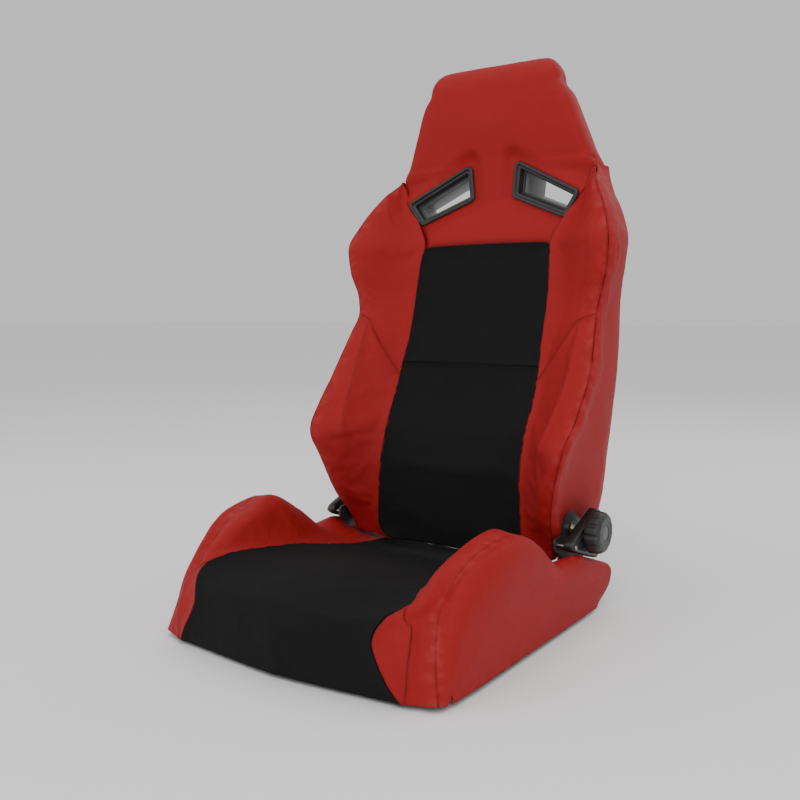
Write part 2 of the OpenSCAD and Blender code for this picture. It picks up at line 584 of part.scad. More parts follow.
module rear_panel() color("firebrick")
    difference() {
        intersection() {
            across(-back_x, back_x) polygon(concat([for (z = steps(pivot_z + 30, up(0.97))) [rear(z), z]],
                [for (z = reverse(steps(pivot_z + 30, up(0.97)))) [rear(z) - rear_t, z]]));
            backwards(pivot_y, rear(slot_z) + 60) polygon(outline(pivot_z + 30, up(0.97), gusset_t + seam_gap));
        }
        slot_hole("left");
        slot_hole("right");
        rear_seat("left");
        rear_seat("right");
    }
pocket_low = up(0.2);
pocket_high = up(0.52);
pocket_t = 5;
hem_r = 6;
module map_pocket() color("firebrick")
    intersection() {
        across(-back_x, back_x) polygon(concat([for (z = steps(pocket_low, pocket_high)) [rear(z) + 0.5, z]],
            [for (z = reverse(steps(pocket_low, pocket_high))) [rear(z) + 0.5 + pocket_t, z]]));
        backwards(pivot_y, rear(slot_z) + 60) polygon(outline(pocket_low, pocket_high, 14));
    }
module pocket_hem() color("firebrick")
    bar(-half(pocket_high) + 16, half(pocket_high) - 16, rear(pocket_high) + 1 + hem_r, pocket_high + hem_r + 0.5, hem_r);

mounting_rail("left");  // mounting_rail_left
mounting_rail("right");  // mounting_rail_right
weld_nuts();
side_member("left");  // side_member_left
side_member("right");  // side_member_right
front_cross_tube();
rear_cross_tube();
cushion_springs_set();
cushion_foam();
cushion_centre();
cushion_front("left");  // cushion_front_left
cushion_front("right");  // cushion_front_right
cushion_bolster("left");  // cushion_bolster_left
cushion_bolster("right");  // cushion_bolster_right
cushion_side("left");  // cushion_side_left
cushion_side("right");  // cushion_side_right
recliner_lower_plate("left");  // recliner_lower_plate_left
recliner_lower_plate("right");  // recliner_lower_plate_right
recliner_fixed_gear("left");  // recliner_fixed_gear_left
recliner_fixed_gear("right");  // recliner_fixed_gear_right
recliner_lower_bolts();
recliner_cover("left");  // recliner_cover_left
recliner_cover("right");  // recliner_cover_right
cover_screws();
cross_shaft();
drive_cam("left");  // drive_cam_left
drive_cam("right");  // drive_cam_right
recliner_knob();
knob_cap();
shaft_circlips();
recliner_ring_gear("left");  // recliner_ring_gear_left
recliner_ring_gear("right");  // recliner_ring_gear_right
recliner_upper_plate("left");  // recliner_upper_plate_left
recliner_upper_plate("right");  // recliner_upper_plate_right
recliner_rivets();
upright_tube("left");  // upright_tube_left
upright_tube("right");  // upright_tube_right
lower_crossbar();
shoulder_crossbar();
head_crossbar();
back_springs_set();
back_foam();
head_foam();
insert_lower();
insert_upper();
head_panel();
head_gusset();
shoulder("left");  // shoulder_left
shoulder("right");  // shoulder_right
back_bolster("left");  // back_bolster_left
back_bolster("right");  // back_bolster_right
back_side("left");  // back_side_left
back_side("right");  // back_side_right
rear_panel();
map_pocket();
pocket_hem();
slot_bezel("left");  // slot_bezel_left
slot_bezel("right");  // slot_bezel_right
slot_rear_bezel("left");  // slot_rear_bezel_left
slot_rear_bezel("right");  // slot_rear_bezel_right
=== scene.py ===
"""A racing seat: sewn covers, foam, trim, frame and finishes around its fixed CAD frame.

X runs across the seat, Y backwards and Z upwards, all in metres. Tables of key lines are in millimetres.
"""

import json
import logging
import math
from dataclasses import dataclass, field
from enum import Enum
from typing import Callable, Iterable, Optional, Sequence, Union

import bmesh
import bpy
import numpy as np
from mathutils import Matrix, Vector, noise
from mathutils.bvhtree import BVHTree

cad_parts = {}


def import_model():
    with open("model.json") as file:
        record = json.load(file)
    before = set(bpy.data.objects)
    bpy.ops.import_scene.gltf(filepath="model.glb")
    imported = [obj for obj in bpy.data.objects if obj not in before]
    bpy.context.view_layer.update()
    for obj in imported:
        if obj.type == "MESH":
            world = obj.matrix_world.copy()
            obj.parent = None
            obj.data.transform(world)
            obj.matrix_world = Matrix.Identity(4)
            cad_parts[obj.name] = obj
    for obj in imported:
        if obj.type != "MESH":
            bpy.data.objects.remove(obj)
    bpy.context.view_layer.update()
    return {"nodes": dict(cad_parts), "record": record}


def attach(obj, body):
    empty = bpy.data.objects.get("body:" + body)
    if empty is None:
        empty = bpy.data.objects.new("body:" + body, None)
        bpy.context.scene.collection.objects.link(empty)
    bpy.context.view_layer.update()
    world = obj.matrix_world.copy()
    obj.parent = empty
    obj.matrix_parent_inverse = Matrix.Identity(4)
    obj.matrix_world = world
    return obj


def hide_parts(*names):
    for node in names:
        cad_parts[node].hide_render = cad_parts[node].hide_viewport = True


MM = 0.001
LOG = logging.getLogger("racing_seat")
Array = np.ndarray


# ---------------------------------------------------------------- shader graphs
class Wire:
    """A shader socket that can be used in Python expressions; each operator adds a Math node."""

    def __init__(self, graph: "Graph", socket: bpy.types.NodeSocket) -> None:
        """Wraps one output socket of a graph.

        Args:
            graph: The graph that the socket belongs to.
            socket: The output socket.
        """
        self.graph = graph
        self.socket = socket

    def _math(self, operation: str, first: object, second: object = None) -> "Wire":
        """Adds a Math node.

        Args:
            operation: The node's operation.
            first: The first value or wire.
            second: The second value or wire, if the operation takes one.

        Returns:
            The node's result.
        """
        values = {"0": first} if second is None else {"0": first, "1": second}
        return self.graph.node("ShaderNodeMath", {"operation": operation}, values)

    def __add__(self, other: object) -> "Wire":
        """Sum."""
        return self._math("ADD", self, other)

    def __radd__(self, other: object) -> "Wire":
        """Sum, reflected."""
        return self._math("ADD", other, self)

    def __sub__(self, other: object) -> "Wire":
        """Difference."""
        return self._math("SUBTRACT", self, other)

    def __rsub__(self, other: object) -> "Wire":
        """Difference, reflected."""
        return self._math("SUBTRACT", other, self)

    def __mul__(self, other: object) -> "Wire":
        """Product."""
        return self._math("MULTIPLY", self, other)

    def __rmul__(self, other: object) -> "Wire":
        """Product, reflected."""
        return self._math("MULTIPLY", other, self)

    def __truediv__(self, other: object) -> "Wire":
        """Quotient."""
        return self._math("DIVIDE", self, other)

    def sine(self) -> "Wire":
        """Sine of the value, in radians."""
        return self._math("SINE", self)

class Graph:
    """The node tree of one material, with one method that makes any node."""

    def __init__(self, name: str) -> None:
        """Starts an empty material.

        Args:
            name: The material's name.
        """
        self.material = bpy.data.materials.new(name)
        self.material.use_nodes = True
        self.tree = self.material.node_tree
        self.tree.nodes.clear()

    def node(self, kind: str, settings: Optional[dict] = None, values: Optional[dict] = None,
             output: Union[int, str] = 0) -> Wire:
        """Makes a node, sets it up and links it.

        Args:
            kind: The node's type.
            settings: Attributes set first; "stops" is a list of (place, colour) for a ramp.
            values: Input socket, by name or by index as text, to its value or wire.
            output: Which output to return.

        Returns:
            The chosen output.
        """
        made = self.tree.nodes.new(kind)
        for key, value in (settings or {}).items():
            if key == "stops":
                ramp = made.color_ramp.elements
                ramp[0].position, ramp[0].color = value[0]
                ramp[1].position, ramp[1].color = value[-1]
                for place, colour in value[1:-1]:
                    ramp.new(place).color = colour
            else:
                setattr(made, key, value)
        for key, value in (values or {}).items():
            socket = made.inputs[int(key) if key.isdigit() else key]
            if isinstance(value, Wire):
                self.tree.links.new(value.socket, socket)
            else:
                socket.default_value = value
        return Wire(self, made.outputs[output])

    def place(self) -> Wire:
        """Object coordinates, which are the frame's own."""
        return self.node("ShaderNodeTexCoord", output="Object")

    def noise(self, scale: float, detail: float = 2.0, where: Optional[Wire] = None,
              roughness: float = 0.5) -> Wire:
        """Cloudy noise from 0 to 1.

        Args:
            scale: Waves per metre.
            detail: Octaves.
            where: Coordinates, or None for the object's own.
            roughness: Weight of the finer octaves.

        Returns:
            The noise's value.
        """
        return self.node("ShaderNodeTexNoise", values={
            "Vector": where or self.place(), "Scale": scale, "Detail": detail, "Roughness": roughness})

    def cells(self, scale: float, feature: str = "F1", where: Optional[Wire] = None) -> Wire:
        """Distance in a field of random cells.

        Args:
            scale: Cells per metre.
            feature: The Voronoi feature.
            where: Coordinates, or None for the object's own.

        Returns:
            The distance.
        """
        return self.node("ShaderNodeTexVoronoi", {"feature": feature},
                         {"Vector": where or self.place(), "Scale": scale})

    def range(self, value: Wire, low: float, high: float, to_low: float, to_high: float) -> Wire:
        """Maps a value from one range to another, clamped.

        Args:
            value: The wire to map.
            low: Start of the range it comes from.
            high: End of that range.
            to_low: Start of the range it goes to.
            to_high: End of that range.

        Returns:
            The mapped value.
        """
        return self.node("ShaderNodeMapRange",
                         values={"0": value, "1": low, "2": high, "3": to_low, "4": to_high})

    def blend(self, share: object, first: object, second: object, mode: str = "MIX") -> Wire:
        """Mixes two colours.

        Args:
            share: How much of the second shows.
            first: The first colour.
            second: The second colour.
            mode: The Mix node's blend type.

        Returns:
            The mixed colour.
        """
        return self.node("ShaderNodeMix", {"data_type": "RGBA", "blend_type": mode},
                         {"0": share, "6": first, "7": second}, output=2)

    def attribute(self, name: str) -> Wire:
        """A number stored on the mesh.

        Args:
            name: The attribute's name.

        Returns:
            Its value.
        """
        return self.node("ShaderNodeAttribute", {"attribute_name": name}, output="Fac")

    def bump(self, height: Wire, depth: float, strength: float = 1.0, below: Optional[Wire] = None) -> Wire:
        """A bump from a height.

        Args:
            height: The height, from 0 to 1.
            depth: What 1 stands for, in metres.
            strength: Share of the bump that shows.
            below: An earlier bump's normal.

        Returns:
            The normal.
        """
        values = {"Strength": strength, "Distance": depth, "Height": height}
        if below is not None:
            values["Normal"] = below
        return self.node("ShaderNodeBump", values=values)

    def finish(self, **values: object) -> bpy.types.Material:
        """Ends the graph in a Principled shader.

        Args:
            **values: Its sockets, with underscores for spaces.

        Returns:
            The material.
        """
        shader = self.node("ShaderNodeBsdfPrincipled",
                           values={k.replace("_", " "): v for k, v in values.items()})
        end = self.tree.nodes.new("ShaderNodeOutputMaterial")
        self.tree.links.new(shader.socket, end.inputs["Surface"])
        return self.material


class Texture(Enum):
    """The named surfaces that a finish can have."""

    GRAIN = "grain"
    WEAVE = "weave"
    MOULDED = "moulded"
    BRUSHED = "brushed"
    POWDER = "powder"
    PLATED = "plated"
    POROUS = "porous"
    THREAD = "thread"


Colour = tuple[float, float, float]


@dataclass(frozen=True)
class Finish:
    """One finish of the seat: its colours, texture and gloss."""

    name: str
    texture: Texture
    colour: Colour
    second: Colour
    roughness: float = 0.5
    scale: float = 800.0
    depth: float = 0.0002

    def material(self) -> bpy.types.Material:
        """The finish as a material, made once; the frame has plain materials under the bare names."""
        found = bpy.data.materials.get("seat_" + self.name)
        return found if found else getattr(self, "_" + self.texture.value)(Graph("seat_" + self.name))

    def _grain(self, g: Graph) -> bpy.types.Material:
        """Embossed leatherette: fine cells with painted shade in their valleys, slow colour drift, painted
        shade along the seams and paler worn edges.
        """
        cell = g.cells(self.scale, "DISTANCE_TO_EDGE")
        pore = g.cells(self.scale * 2.3, "F1")
        drift = g.noise(9.0, 3.0)
        patch = g.noise(140.0, 3.0)
        seam = g.attribute("seam")
        hill = g.range(cell, 0.0, 0.32, 0.0, 1.0)
        tone = g.blend(drift * 0.7 + patch * 0.25, (*self.colour, 1), (*self.second, 1))
        deep = tuple(c * 0.52 for c in self.colour)
        # Painted shade: the grain's valleys, where hill is low, are darkened towards deep.
        tone = g.blend(g.range(hill, 0.0, 0.5, 0.34, 0.0), tone, (*deep, 1))
        # Painted shade: the cover is darkened near its seams, in the tucks, towards deep.
        tone = g.blend(g.range(seam, 0.35, 1.0, 0.0, 0.55), tone, (*deep, 1))
        worn = g.attribute("wear") * g.range(g.noise(60.0, 4.0), 0.45, 0.75, 0.0, 0.4)
        pale = tuple(min(1.0, c * 1.25 + 0.05) for c in self.second)
        tone = g.blend(worn, tone, (*pale, 1))
        rough = self.roughness + (patch - 0.5) * 0.16 + g.range(hill, 0.0, 1.0, 0.14, 0.0) - worn * 0.2
        coarse = g.bump(patch, 0.0009, 0.35)
        normal = g.bump(hill * 0.8 + pore * 0.35, self.depth, 0.9, coarse)
        return g.finish(Base_Color=tone, Roughness=rough, Normal=normal, IOR=1.3)

    def _weave(self, g: Graph) -> bpy.types.Material:
        """Plain woven cloth that follows the piece's own map, with a fuzzy nap, painted shade between its
        threads and painted shade along the seams.
        """
        flat = g.node("ShaderNodeUVMap", {"uv_map": "cloth"})
        split = g.tree.nodes.new("ShaderNodeSeparateXYZ")
        g.tree.links.new(flat.socket, split.inputs[0])
        across, along = Wire(g, split.outputs[0]), Wire(g, split.outputs[1])
        turn = 2 * math.pi * self.scale / 2
        weft, warp = (across * turn).sine(), (along * turn).sine()
        thread = weft * warp * 0.5 + 0.5
        fibre = g.noise(self.scale * 5.0, 2.0)
        drift = g.noise(16.0, 3.0)
        seam = g.attribute("seam")
        # Painted shade in the weave: the low parts between the threads are darker, with random fibre tone
        # mixed in.
        tone = g.blend(thread * 0.55 + fibre * 0.35, (*self.colour, 1), (*self.second, 1))
        tone = g.blend(drift * 0.35, tone, (*tuple(c * 0.6 for c in self.colour), 1))
        # Painted shade: the cloth is darkened near its seams.
        tone = g.blend(g.range(seam, 0.4, 1.0, 0.0, 0.5), tone, (*tuple(c * 0.4 for c in self.colour), 1))
        normal = g.bump(thread + fibre * 0.3, self.depth, 0.8)
        return g.finish(Base_Color=tone, Roughness=g.range(thread, 0.0, 1.0, 0.98, 0.82), Normal=normal,
                        IOR=1.25)

    def _moulded(self, g: Graph) -> bpy.types.Material:
        """Moulded plastic with a fine spark-eroded texture, scuffs and dust."""
        sparkle = g.cells(self.scale, "SMOOTH_F1")
        cloud = g.noise(35.0, 4.0)
        scuff = g.range(g.noise(220.0, 5.0, roughness=0.7), 0.58, 0.72, 0.0, 1.0)
        tone = g.blend(cloud * 0.6 + scuff * 0.25, (*self.colour, 1), (*self.second, 1))
        rough = self.roughness + (cloud - 0.5) * 0.12 + scuff * 0.1
        return g.finish(Base_Color=tone, Roughness=rough, Normal=g.bump(sparkle, self.depth, 0.6),
                        Specular_IOR_Level=0.5)

    def _brushed(self, g: Graph) -> bpy.types.Material:
        """Turned or drawn steel: fine lines, a thin film of oil and a few dark spots."""
        stretch = g.node("ShaderNodeMapping", values={"Vector": g.place(), "Scale": (0.04, 1.0, 1.0)})
        lines = g.noise(self.scale, 3.0, stretch)
        film = g.noise(45.0, 4.0)
        tone = g.blend(film, (*self.colour, 1), (*self.second, 1))
        rough = self.roughness + (lines - 0.5) * 0.2 + film * 0.08
        return g.finish(Base_Color=tone, Roughness=rough, Metallic=1.0, Normal=g.bump(lines, self.depth, 0.5))

    def _plated(self, g: Graph) -> bpy.types.Material:
        """Zinc plating with its mottled colour."""
        spangle = g.cells(self.scale, "SMOOTH_F1")
        film = g.noise(60.0, 4.0)
        tone = g.blend(g.range(film, 0.35, 0.7, 0.0, 1.0), (*self.colour, 1), (*self.second, 1))
        rough = self.roughness + spangle * 0.15
        return g.finish(Base_Color=tone, Roughness=rough, Metallic=1.0,
                        Normal=g.bump(spangle, self.depth, 0.3))

    def _powder(self, g: Graph) -> bpy.types.Material:
        """Powder coat with orange peel, and bare metal rubbed through in a few places."""
        peel = g.noise(self.scale, 1.0)
        chip = g.range(g.noise(90.0, 6.0, roughness=0.75), 0.68, 0.71, 0.0, 1.0)
        cloud = g.noise(20.0, 3.0)
        tone = g.blend(cloud * 0.6, (*self.colour, 1), (*self.second, 1))
        tone = g.blend(chip, tone, (0.33, 0.32, 0.31, 1))
        rough = self.roughness + (cloud - 0.5) * 0.12
        normal = g.bump(peel - chip * 0.4, self.depth, 0.5)
        return g.finish(Base_Color=tone, Roughness=rough, Metallic=chip, Normal=normal)

    def _porous(self, g: Graph) -> bpy.types.Material:
        """Open-cell foam: pores in two sizes and yellowed skin."""
        big, small = g.cells(self.scale * 0.5, "SMOOTH_F1"), g.cells(self.scale, "F1")
        age = g.noise(14.0, 4.0)
        pit = g.range(big * 0.5 + small * 0.5, 0.1, 0.6, 0.0, 1.0)
        tone = g.blend(age, (*self.colour, 1), (*self.second, 1))
        # Painted shade: the pores, where pit is low, are darkened.
        tone = g.blend(g.range(pit, 0.0, 0.5, 0.5, 0.0), tone, (*tuple(c * 0.45 for c in self.second), 1))
        return g.finish(Base_Color=tone, Roughness=0.95, Normal=g.bump(pit, self.depth, 1.0),
                        Specular_IOR_Level=0.2)

    def _thread(self, g: Graph) -> bpy.types.Material:
        """Twisted sewing thread."""
        twist = g.noise(self.scale, 2.0)
        tone = g.blend(twist, (*self.colour, 1), (*self.second, 1))
        return g.finish(Base_Color=tone, Roughness=g.range(twist, 0.0, 1.0, 0.5, 0.75),
                        Normal=g.bump(twist, self.depth, 0.5), Sheen_Weight=0.1)


RED = Finish("red_leatherette", Texture.GRAIN, (0.31, 0.008, 0.009), (0.38, 0.012, 0.013), 0.55, 850, 0.00016)
CLOTH = Finish("black_cloth", Texture.WEAVE, (0.005, 0.005, 0.0052), (0.017, 0.017, 0.0175), 0.9, 900, 0.0003)
WELT = Finish("black_welt", Texture.GRAIN, (0.012, 0.012, 0.013), (0.022, 0.022, 0.023), 0.5, 1600, 0.00008)
FOAM = Finish("foam", Texture.POROUS, (0.80, 0.72, 0.50), (0.70, 0.58, 0.34), 0.95, 420, 0.0012)
WIRE = Finish("spring_wire", Texture.BRUSHED, (0.30, 0.30, 0.31), (0.16, 0.155, 0.15), 0.38, 900, 0.00005)
GREY = Finish("grey_plastic", Texture.MOULDED, (0.19, 0.19, 0.20), (0.26, 0.26, 0.27), 0.5, 1800, 0.00006)
BLACK = Finish("black_plastic", Texture.MOULDED, (0.014, 0.014, 0.015), (0.035, 0.035, 0.037), 0.42, 1500,
               0.00007)
CAP = Finish("cap_plastic", Texture.MOULDED, (0.045, 0.045, 0.047), (0.08, 0.08, 0.083), 0.34, 2200, 0.00004)
STEEL = Finish("machined_steel", Texture.BRUSHED, (0.56, 0.56, 0.57), (0.40, 0.39, 0.37), 0.26, 1400, 0.00003)
ZINC = Finish("plated_steel", Texture.PLATED, (0.62, 0.60, 0.52), (0.50, 0.46, 0.30), 0.3, 500, 0.00004)
PAINT = Finish("black_paint", Texture.POWDER, (0.020, 0.020, 0.022), (0.045, 0.045, 0.048), 0.4, 700, 0.00012)
RED_THREAD = Finish("red_thread", Texture.THREAD, (0.40, 0.035, 0.035), (0.60, 0.10, 0.09), 0.6, 3000,
                    0.00005)
BLACK_THREAD = Finish("black_thread", Texture.THREAD, (0.015, 0.015, 0.016), (0.05, 0.05, 0.05), 0.6, 3000,
                      0.00005)


# ---------------------------------------------------------------- key lines and surfaces
class KeyLine:
    """A smooth line through stations, with no overshoot between them."""

    def __init__(self, stations: Sequence[float], points: Sequence[Sequence[float]]) -> None:
        """Fits a monotone cubic to each coordinate.

        Args:
            stations: Rising station numbers.
            points: One point for each, in millimetres.
        """
        self.s = np.asarray(stations, float)
        self.p = np.asarray(points, float)
        h = np.diff(self.s)[:, None]
        d = np.diff(self.p, axis=0) / h
        m = np.zeros_like(self.p)
        w0, w1 = 2 * h[1:] + h[:-1], h[1:] + 2 * h[:-1]
        same = d[:-1] * d[1:] > 0
        with np.errstate(divide="ignore", invalid="ignore"):
            mean = (w0 + w1) / (w0 / d[:-1] + w1 / d[1:])
        m[1:-1] = np.where(same, mean, 0)
        m[0], m[-1] = d[0], d[-1]
        self.h, self.m = h[:, 0], m

    def at(self, s: Array) -> Array:
        """Points on the line.

        Args:
            s: Stations.

        Returns:
            One point for each.
        """
        s = np.clip(s, self.s[0], self.s[-1])
        k = np.clip(np.searchsorted(self.s, s, "right") - 1, 0, len(self.h) - 1)
        h = self.h[k][:, None]
        t = ((s - self.s[k]) / self.h[k])[:, None]
        a, b, ma, mb = self.p[k], self.p[k + 1], self.m[k] * h, self.m[k + 1] * h
        return (a * (1 + 2 * t) + ma * t) * (1 - t) ** 2 + (b * (3 - 2 * t) - mb * (1 - t)) * t ** 2


def _unit(v: Array, other: Array) -> Array:
    """Unit vectors, with another used where one has no length."""
    length = np.linalg.norm(v, axis=-1, keepdims=True)
    return np.where(length > 0.5, v / np.maximum(length, 1e-9), other)


class Skin:
    """A symmetric surface through key lines: t counts the lines outwards, and its sign is the side."""

    def __init__(self, lines: Sequence[KeyLine], crease: Callable[[int, Array], Array],
                 flatten: Optional[tuple[float, float, float]] = None) -> None:
        """Keeps the lines.

        Args:
            lines: The key lines, from the middle outwards.
            crease: How sharp the surface is at line k and station s, from 0 to 1.
            flatten: Stations between which the first span's tangents shorten, and their last length.
        """
        self.lines = list(lines)
        self.crease = crease
        self.flatten = flatten

    def at(self, t: Array, s: Array) -> Array:
        """Points on the surface, in metres.

        Args:
            t: Signed places across the lines.
            s: Stations along them.

        Returns:
            One point for each.
        """
        t, s = np.broadcast_arrays(np.asarray(t, float), np.asarray(s, float))
        t, s = t.ravel(), s.ravel()
        side, t = np.where(t < 0, -1.0, 1.0), np.abs(t)
        n = len(self.lines)
        p = np.stack([line.at(s) for line in self.lines])
        chord = np.diff(p, axis=0)
        size = np.linalg.norm(chord, axis=-1, keepdims=True)
        forward, back = [None] * n, [None] * n
        right = np.zeros_like(p[0]); right[:, 0] = 1
        run = right
        for k in range(n - 1):
            run = _unit(chord[k], run); back[k + 1] = run
        back[0] = right
        run = -right
        for k in range(n - 2, -1, -1):
            run = _unit(chord[k], run); forward[k] = run
        forward[n - 1] = -right if abs(p[n - 1][0, 0]) < 1 else back[n - 1]
        into, out = [], []
        for k in range(n):
            mean = _unit((back[k] + forward[k]) * 10, right)
            c = self.crease(k, s)[:, None]
            into.append(mean * (1 - c) + back[k] * c)
            out.append(mean * (1 - c) + forward[k] * c)
        into, out = np.stack(into), np.stack(out)
        k = np.clip(t.astype(int), 0, n - 2)
        i = np.arange(len(t))
        u = np.clip(t - k, 0, 1)[:, None]
        length = size[k, i]
        if self.flatten is not None:
            start, end, cap = self.flatten
            share = (np.clip((s - start) / (end - start), 0, 1) * (k == 0))[:, None]
            length = length * (1 - share) + np.minimum(length, cap) * share
        a, b, ma, mb = p[k, i], p[k + 1, i], out[k, i] * length, into[k + 1, i] * length
        q = (a * (1 + 2 * u) + ma * u) * (1 - u) ** 2 + (b * (3 - 2 * u) - mb * (1 - u)) * u ** 2
        q[:, 0] *= side
        return q * MM

    def normal(self, t: Array, s: Array, low: float, high: float, toward: float = 1.0) -> Array:
        """Outward normals, from differences taken inside a span.

        Args:
            t: Signed places across.
            s: Stations.
            low: Least t of the span.
            high: Greatest t of the span.
            toward: 1 or -1, for which way is out.

        Returns:
            One unit vector for each.
        """
        t, s = np.broadcast_arrays(np.asarray(t, float), np.asarray(s, float))
        t, s = t.ravel(), s.ravel()
        e = 0.02
        ds = 0.004 * (self.lines[0].s[-1] - self.lines[0].s[0])
        t0, t1 = np.clip(t - e, low, high), np.clip(t + e, low, high)
        s0, s1 = np.maximum(s - ds, self.lines[0].s[0]), np.minimum(s + ds, self.lines[0].s[-1])
        across = self.at(t1, s) - self.at(t0, s)
        along = self.at(t, s1) - self.at(t, s0)
        n = np.cross(across, along) * toward
        length = np.linalg.norm(n, axis=1, keepdims=True)
        return n / np.maximum(length, 1e-12)


@dataclass
class Seam:
    """A sewn line: points in metres, how strongly it pulls in at each, and how far it reaches."""

    points: Array
    pull: Array
    depth: float = 4.0
    reach: float = 9.0

    @classmethod
    def on(cls, skin: Skin, path: Sequence[tuple[float, float]], depth: float = 4.0, reach: float = 9.0,
           pull: Optional[Sequence[float]] = None, step: float = 0.0025) -> "Seam":
        """Draws a seam on a skin.

        Args:
            skin: The skin it lies on.
            path: Corners as (t, s).
            depth: How deep it is pulled, in millimetres.
            reach: How far the dip reaches, in millimetres.
            pull: Strength at each corner, or None for 1.
            step: Spacing of its points, in metres.

        Returns:
            The seam.
        """
        path = np.asarray(path, float)
        pull = np.ones(len(path)) if pull is None else np.asarray(pull, float)
        fine = np.linspace(0, len(path) - 1, 60 * (len(path) - 1) + 1)
        t, s = np.interp(fine, range(len(path)), path[:, 0]), np.interp(fine, range(len(path)), path[:, 1])
        points, strength = skin.at(t, s), np.interp(fine, range(len(path)), pull)
        run = np.concatenate([[0], np.cumsum(np.linalg.norm(np.diff(points, axis=0), axis=1))])
        even = np.linspace(0, run[-1], max(4, int(run[-1] / step)))
        points = np.stack([np.interp(even, run, points[:, k]) for k in range(3)], 1)
        return cls(points, np.interp(even, run, strength), depth, reach)


def wobble(points: Array, scale: float, seed: float) -> Array:
    """Smooth seeded noise at points.

    Args:
        points: Points in metres.
        scale: Waves per metre.
        seed: Offset that makes each use its own.

    Returns:
        A value from about -1 to 1 for each point.
    """
    shift = Vector((seed, seed * 1.7, -seed))
    return np.array([noise.noise(Vector(p) * scale + shift) for p in points])


def sewn(points: Array, normals: Array, seams: Sequence[Seam], puff: float,
         seed: float) -> tuple[Array, Array]:
    """Pulls a surface in along its seams and lets it swell between them.

    Args:
        points: Points in metres.
        normals: Outward normals.
        seams: The seams that cross or bound it.
        puff: Swell away from seams, in millimetres.
        seed: Seed of its unevenness.

    Returns:
        The moved points, and how near each is to a seam, from 0 to 1.
    """
    dip, near, far = np.zeros(len(points)), np.zeros(len(points)), np.full(len(points), 1e3)
    pucker = np.zeros(len(points))
    for seam in seams:
        gap = np.linalg.norm(points[:, None, :] - seam.points[None, :, :], axis=2)
        k = gap.argmin(1)
        d = gap[np.arange(len(points)), k] / MM
        pull = seam.pull[k]
        dip = np.maximum(dip, seam.depth * pull * np.exp(-((d / seam.reach) ** 1.5)))
        near = np.maximum(near, pull * np.exp(-((d / 3.0) ** 2)))
        far = np.where(pull > 0.6, np.minimum(far, d), far)
        run = k * 2.5
        wave = np.sin(run / 2.9 + 1.7 * np.sin(run / 31.0 + seed)) + 0.6 * np.sin(run / 6.1 + seed)
        pucker += pull * 0.34 * wave * np.exp(-d / 9.0) * (1 - np.exp(-d / 2.0))
    lift = puff * (1 - np.exp(-far / 26.0)) - dip + pucker
    lift += 0.8 * wobble(points, 16.0, seed) * (1 - np.exp(-far / 20.0)) + 0.3 * wobble(points, 55.0,
                                                                                        seed + 9)
    return points + normals * (lift * MM)[:, None], near


# ---------------------------------------------------------------- pieces
@dataclass
class Piece:
    """One finished object of the seat."""

    name: str
    body: str
    slot: str
    finish: Finish
    stands_for: tuple[str, ...] = ()
    padded: Optional[float] = None

    def keep(self, shape: bmesh.types.BMesh) -> bpy.types.Object:
        """Makes the object from a shape, finishes it and hangs it on its body.

        Args:
            shape: The shape, which is freed.

        Returns:
            The object.
        """
        mesh = bpy.data.meshes.new(self.name)
        for face in shape.faces:
            face.smooth = True
        shape.to_mesh(mesh)
        shape.free()
        made = bpy.data.objects.new(self.name, mesh)
        bpy.context.scene.collection.objects.link(made)
        made.data.materials.append(self.finish.material())
        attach(made, self.body)
        if self.stands_for:
            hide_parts(*self.stands_for)
        LOG.info("%s: %d faces on %s", self.name, len(mesh.polygons), self.body)
        return made


@dataclass
class Patch:
    """A grid of a skin between two bounds across and two along."""

    skin: Skin
    across: tuple[Callable[[Array], Array], Callable[[Array], Array]]
    along: tuple[Callable[[Array], Array], Callable[[Array], Array]]
    columns: Array
    rows: Array

    def places(self) -> tuple[Array, Array]:
        """The (t, s) of each point of the grid, column by column."""
        u, v = np.meshgrid(self.columns, self.rows, indexing="ij")
        s = self.along[0](u) * (1 - v) + self.along[1](u) * v
        t = self.across[0](s) * (1 - u) + self.across[1](s) * u
        return t.ravel(), s.ravel()


def fixed(value: float) -> Callable[[Array], Array]:
    """A bound that stays the same."""
    return lambda x: np.full_like(np.asarray(x, float), value)


def even(count: int) -> Array:
    """Evenly spaced places from 0 to 1."""
    return np.linspace(0, 1, count + 1)


def eased(count: int) -> Array:
    """Places from 0 to 1, closer together at both ends."""
    x = np.linspace(0, 1, count + 1)
    return 0.6 * x + 0.4 * (0.5 - 0.5 * np.cos(np.pi * x))


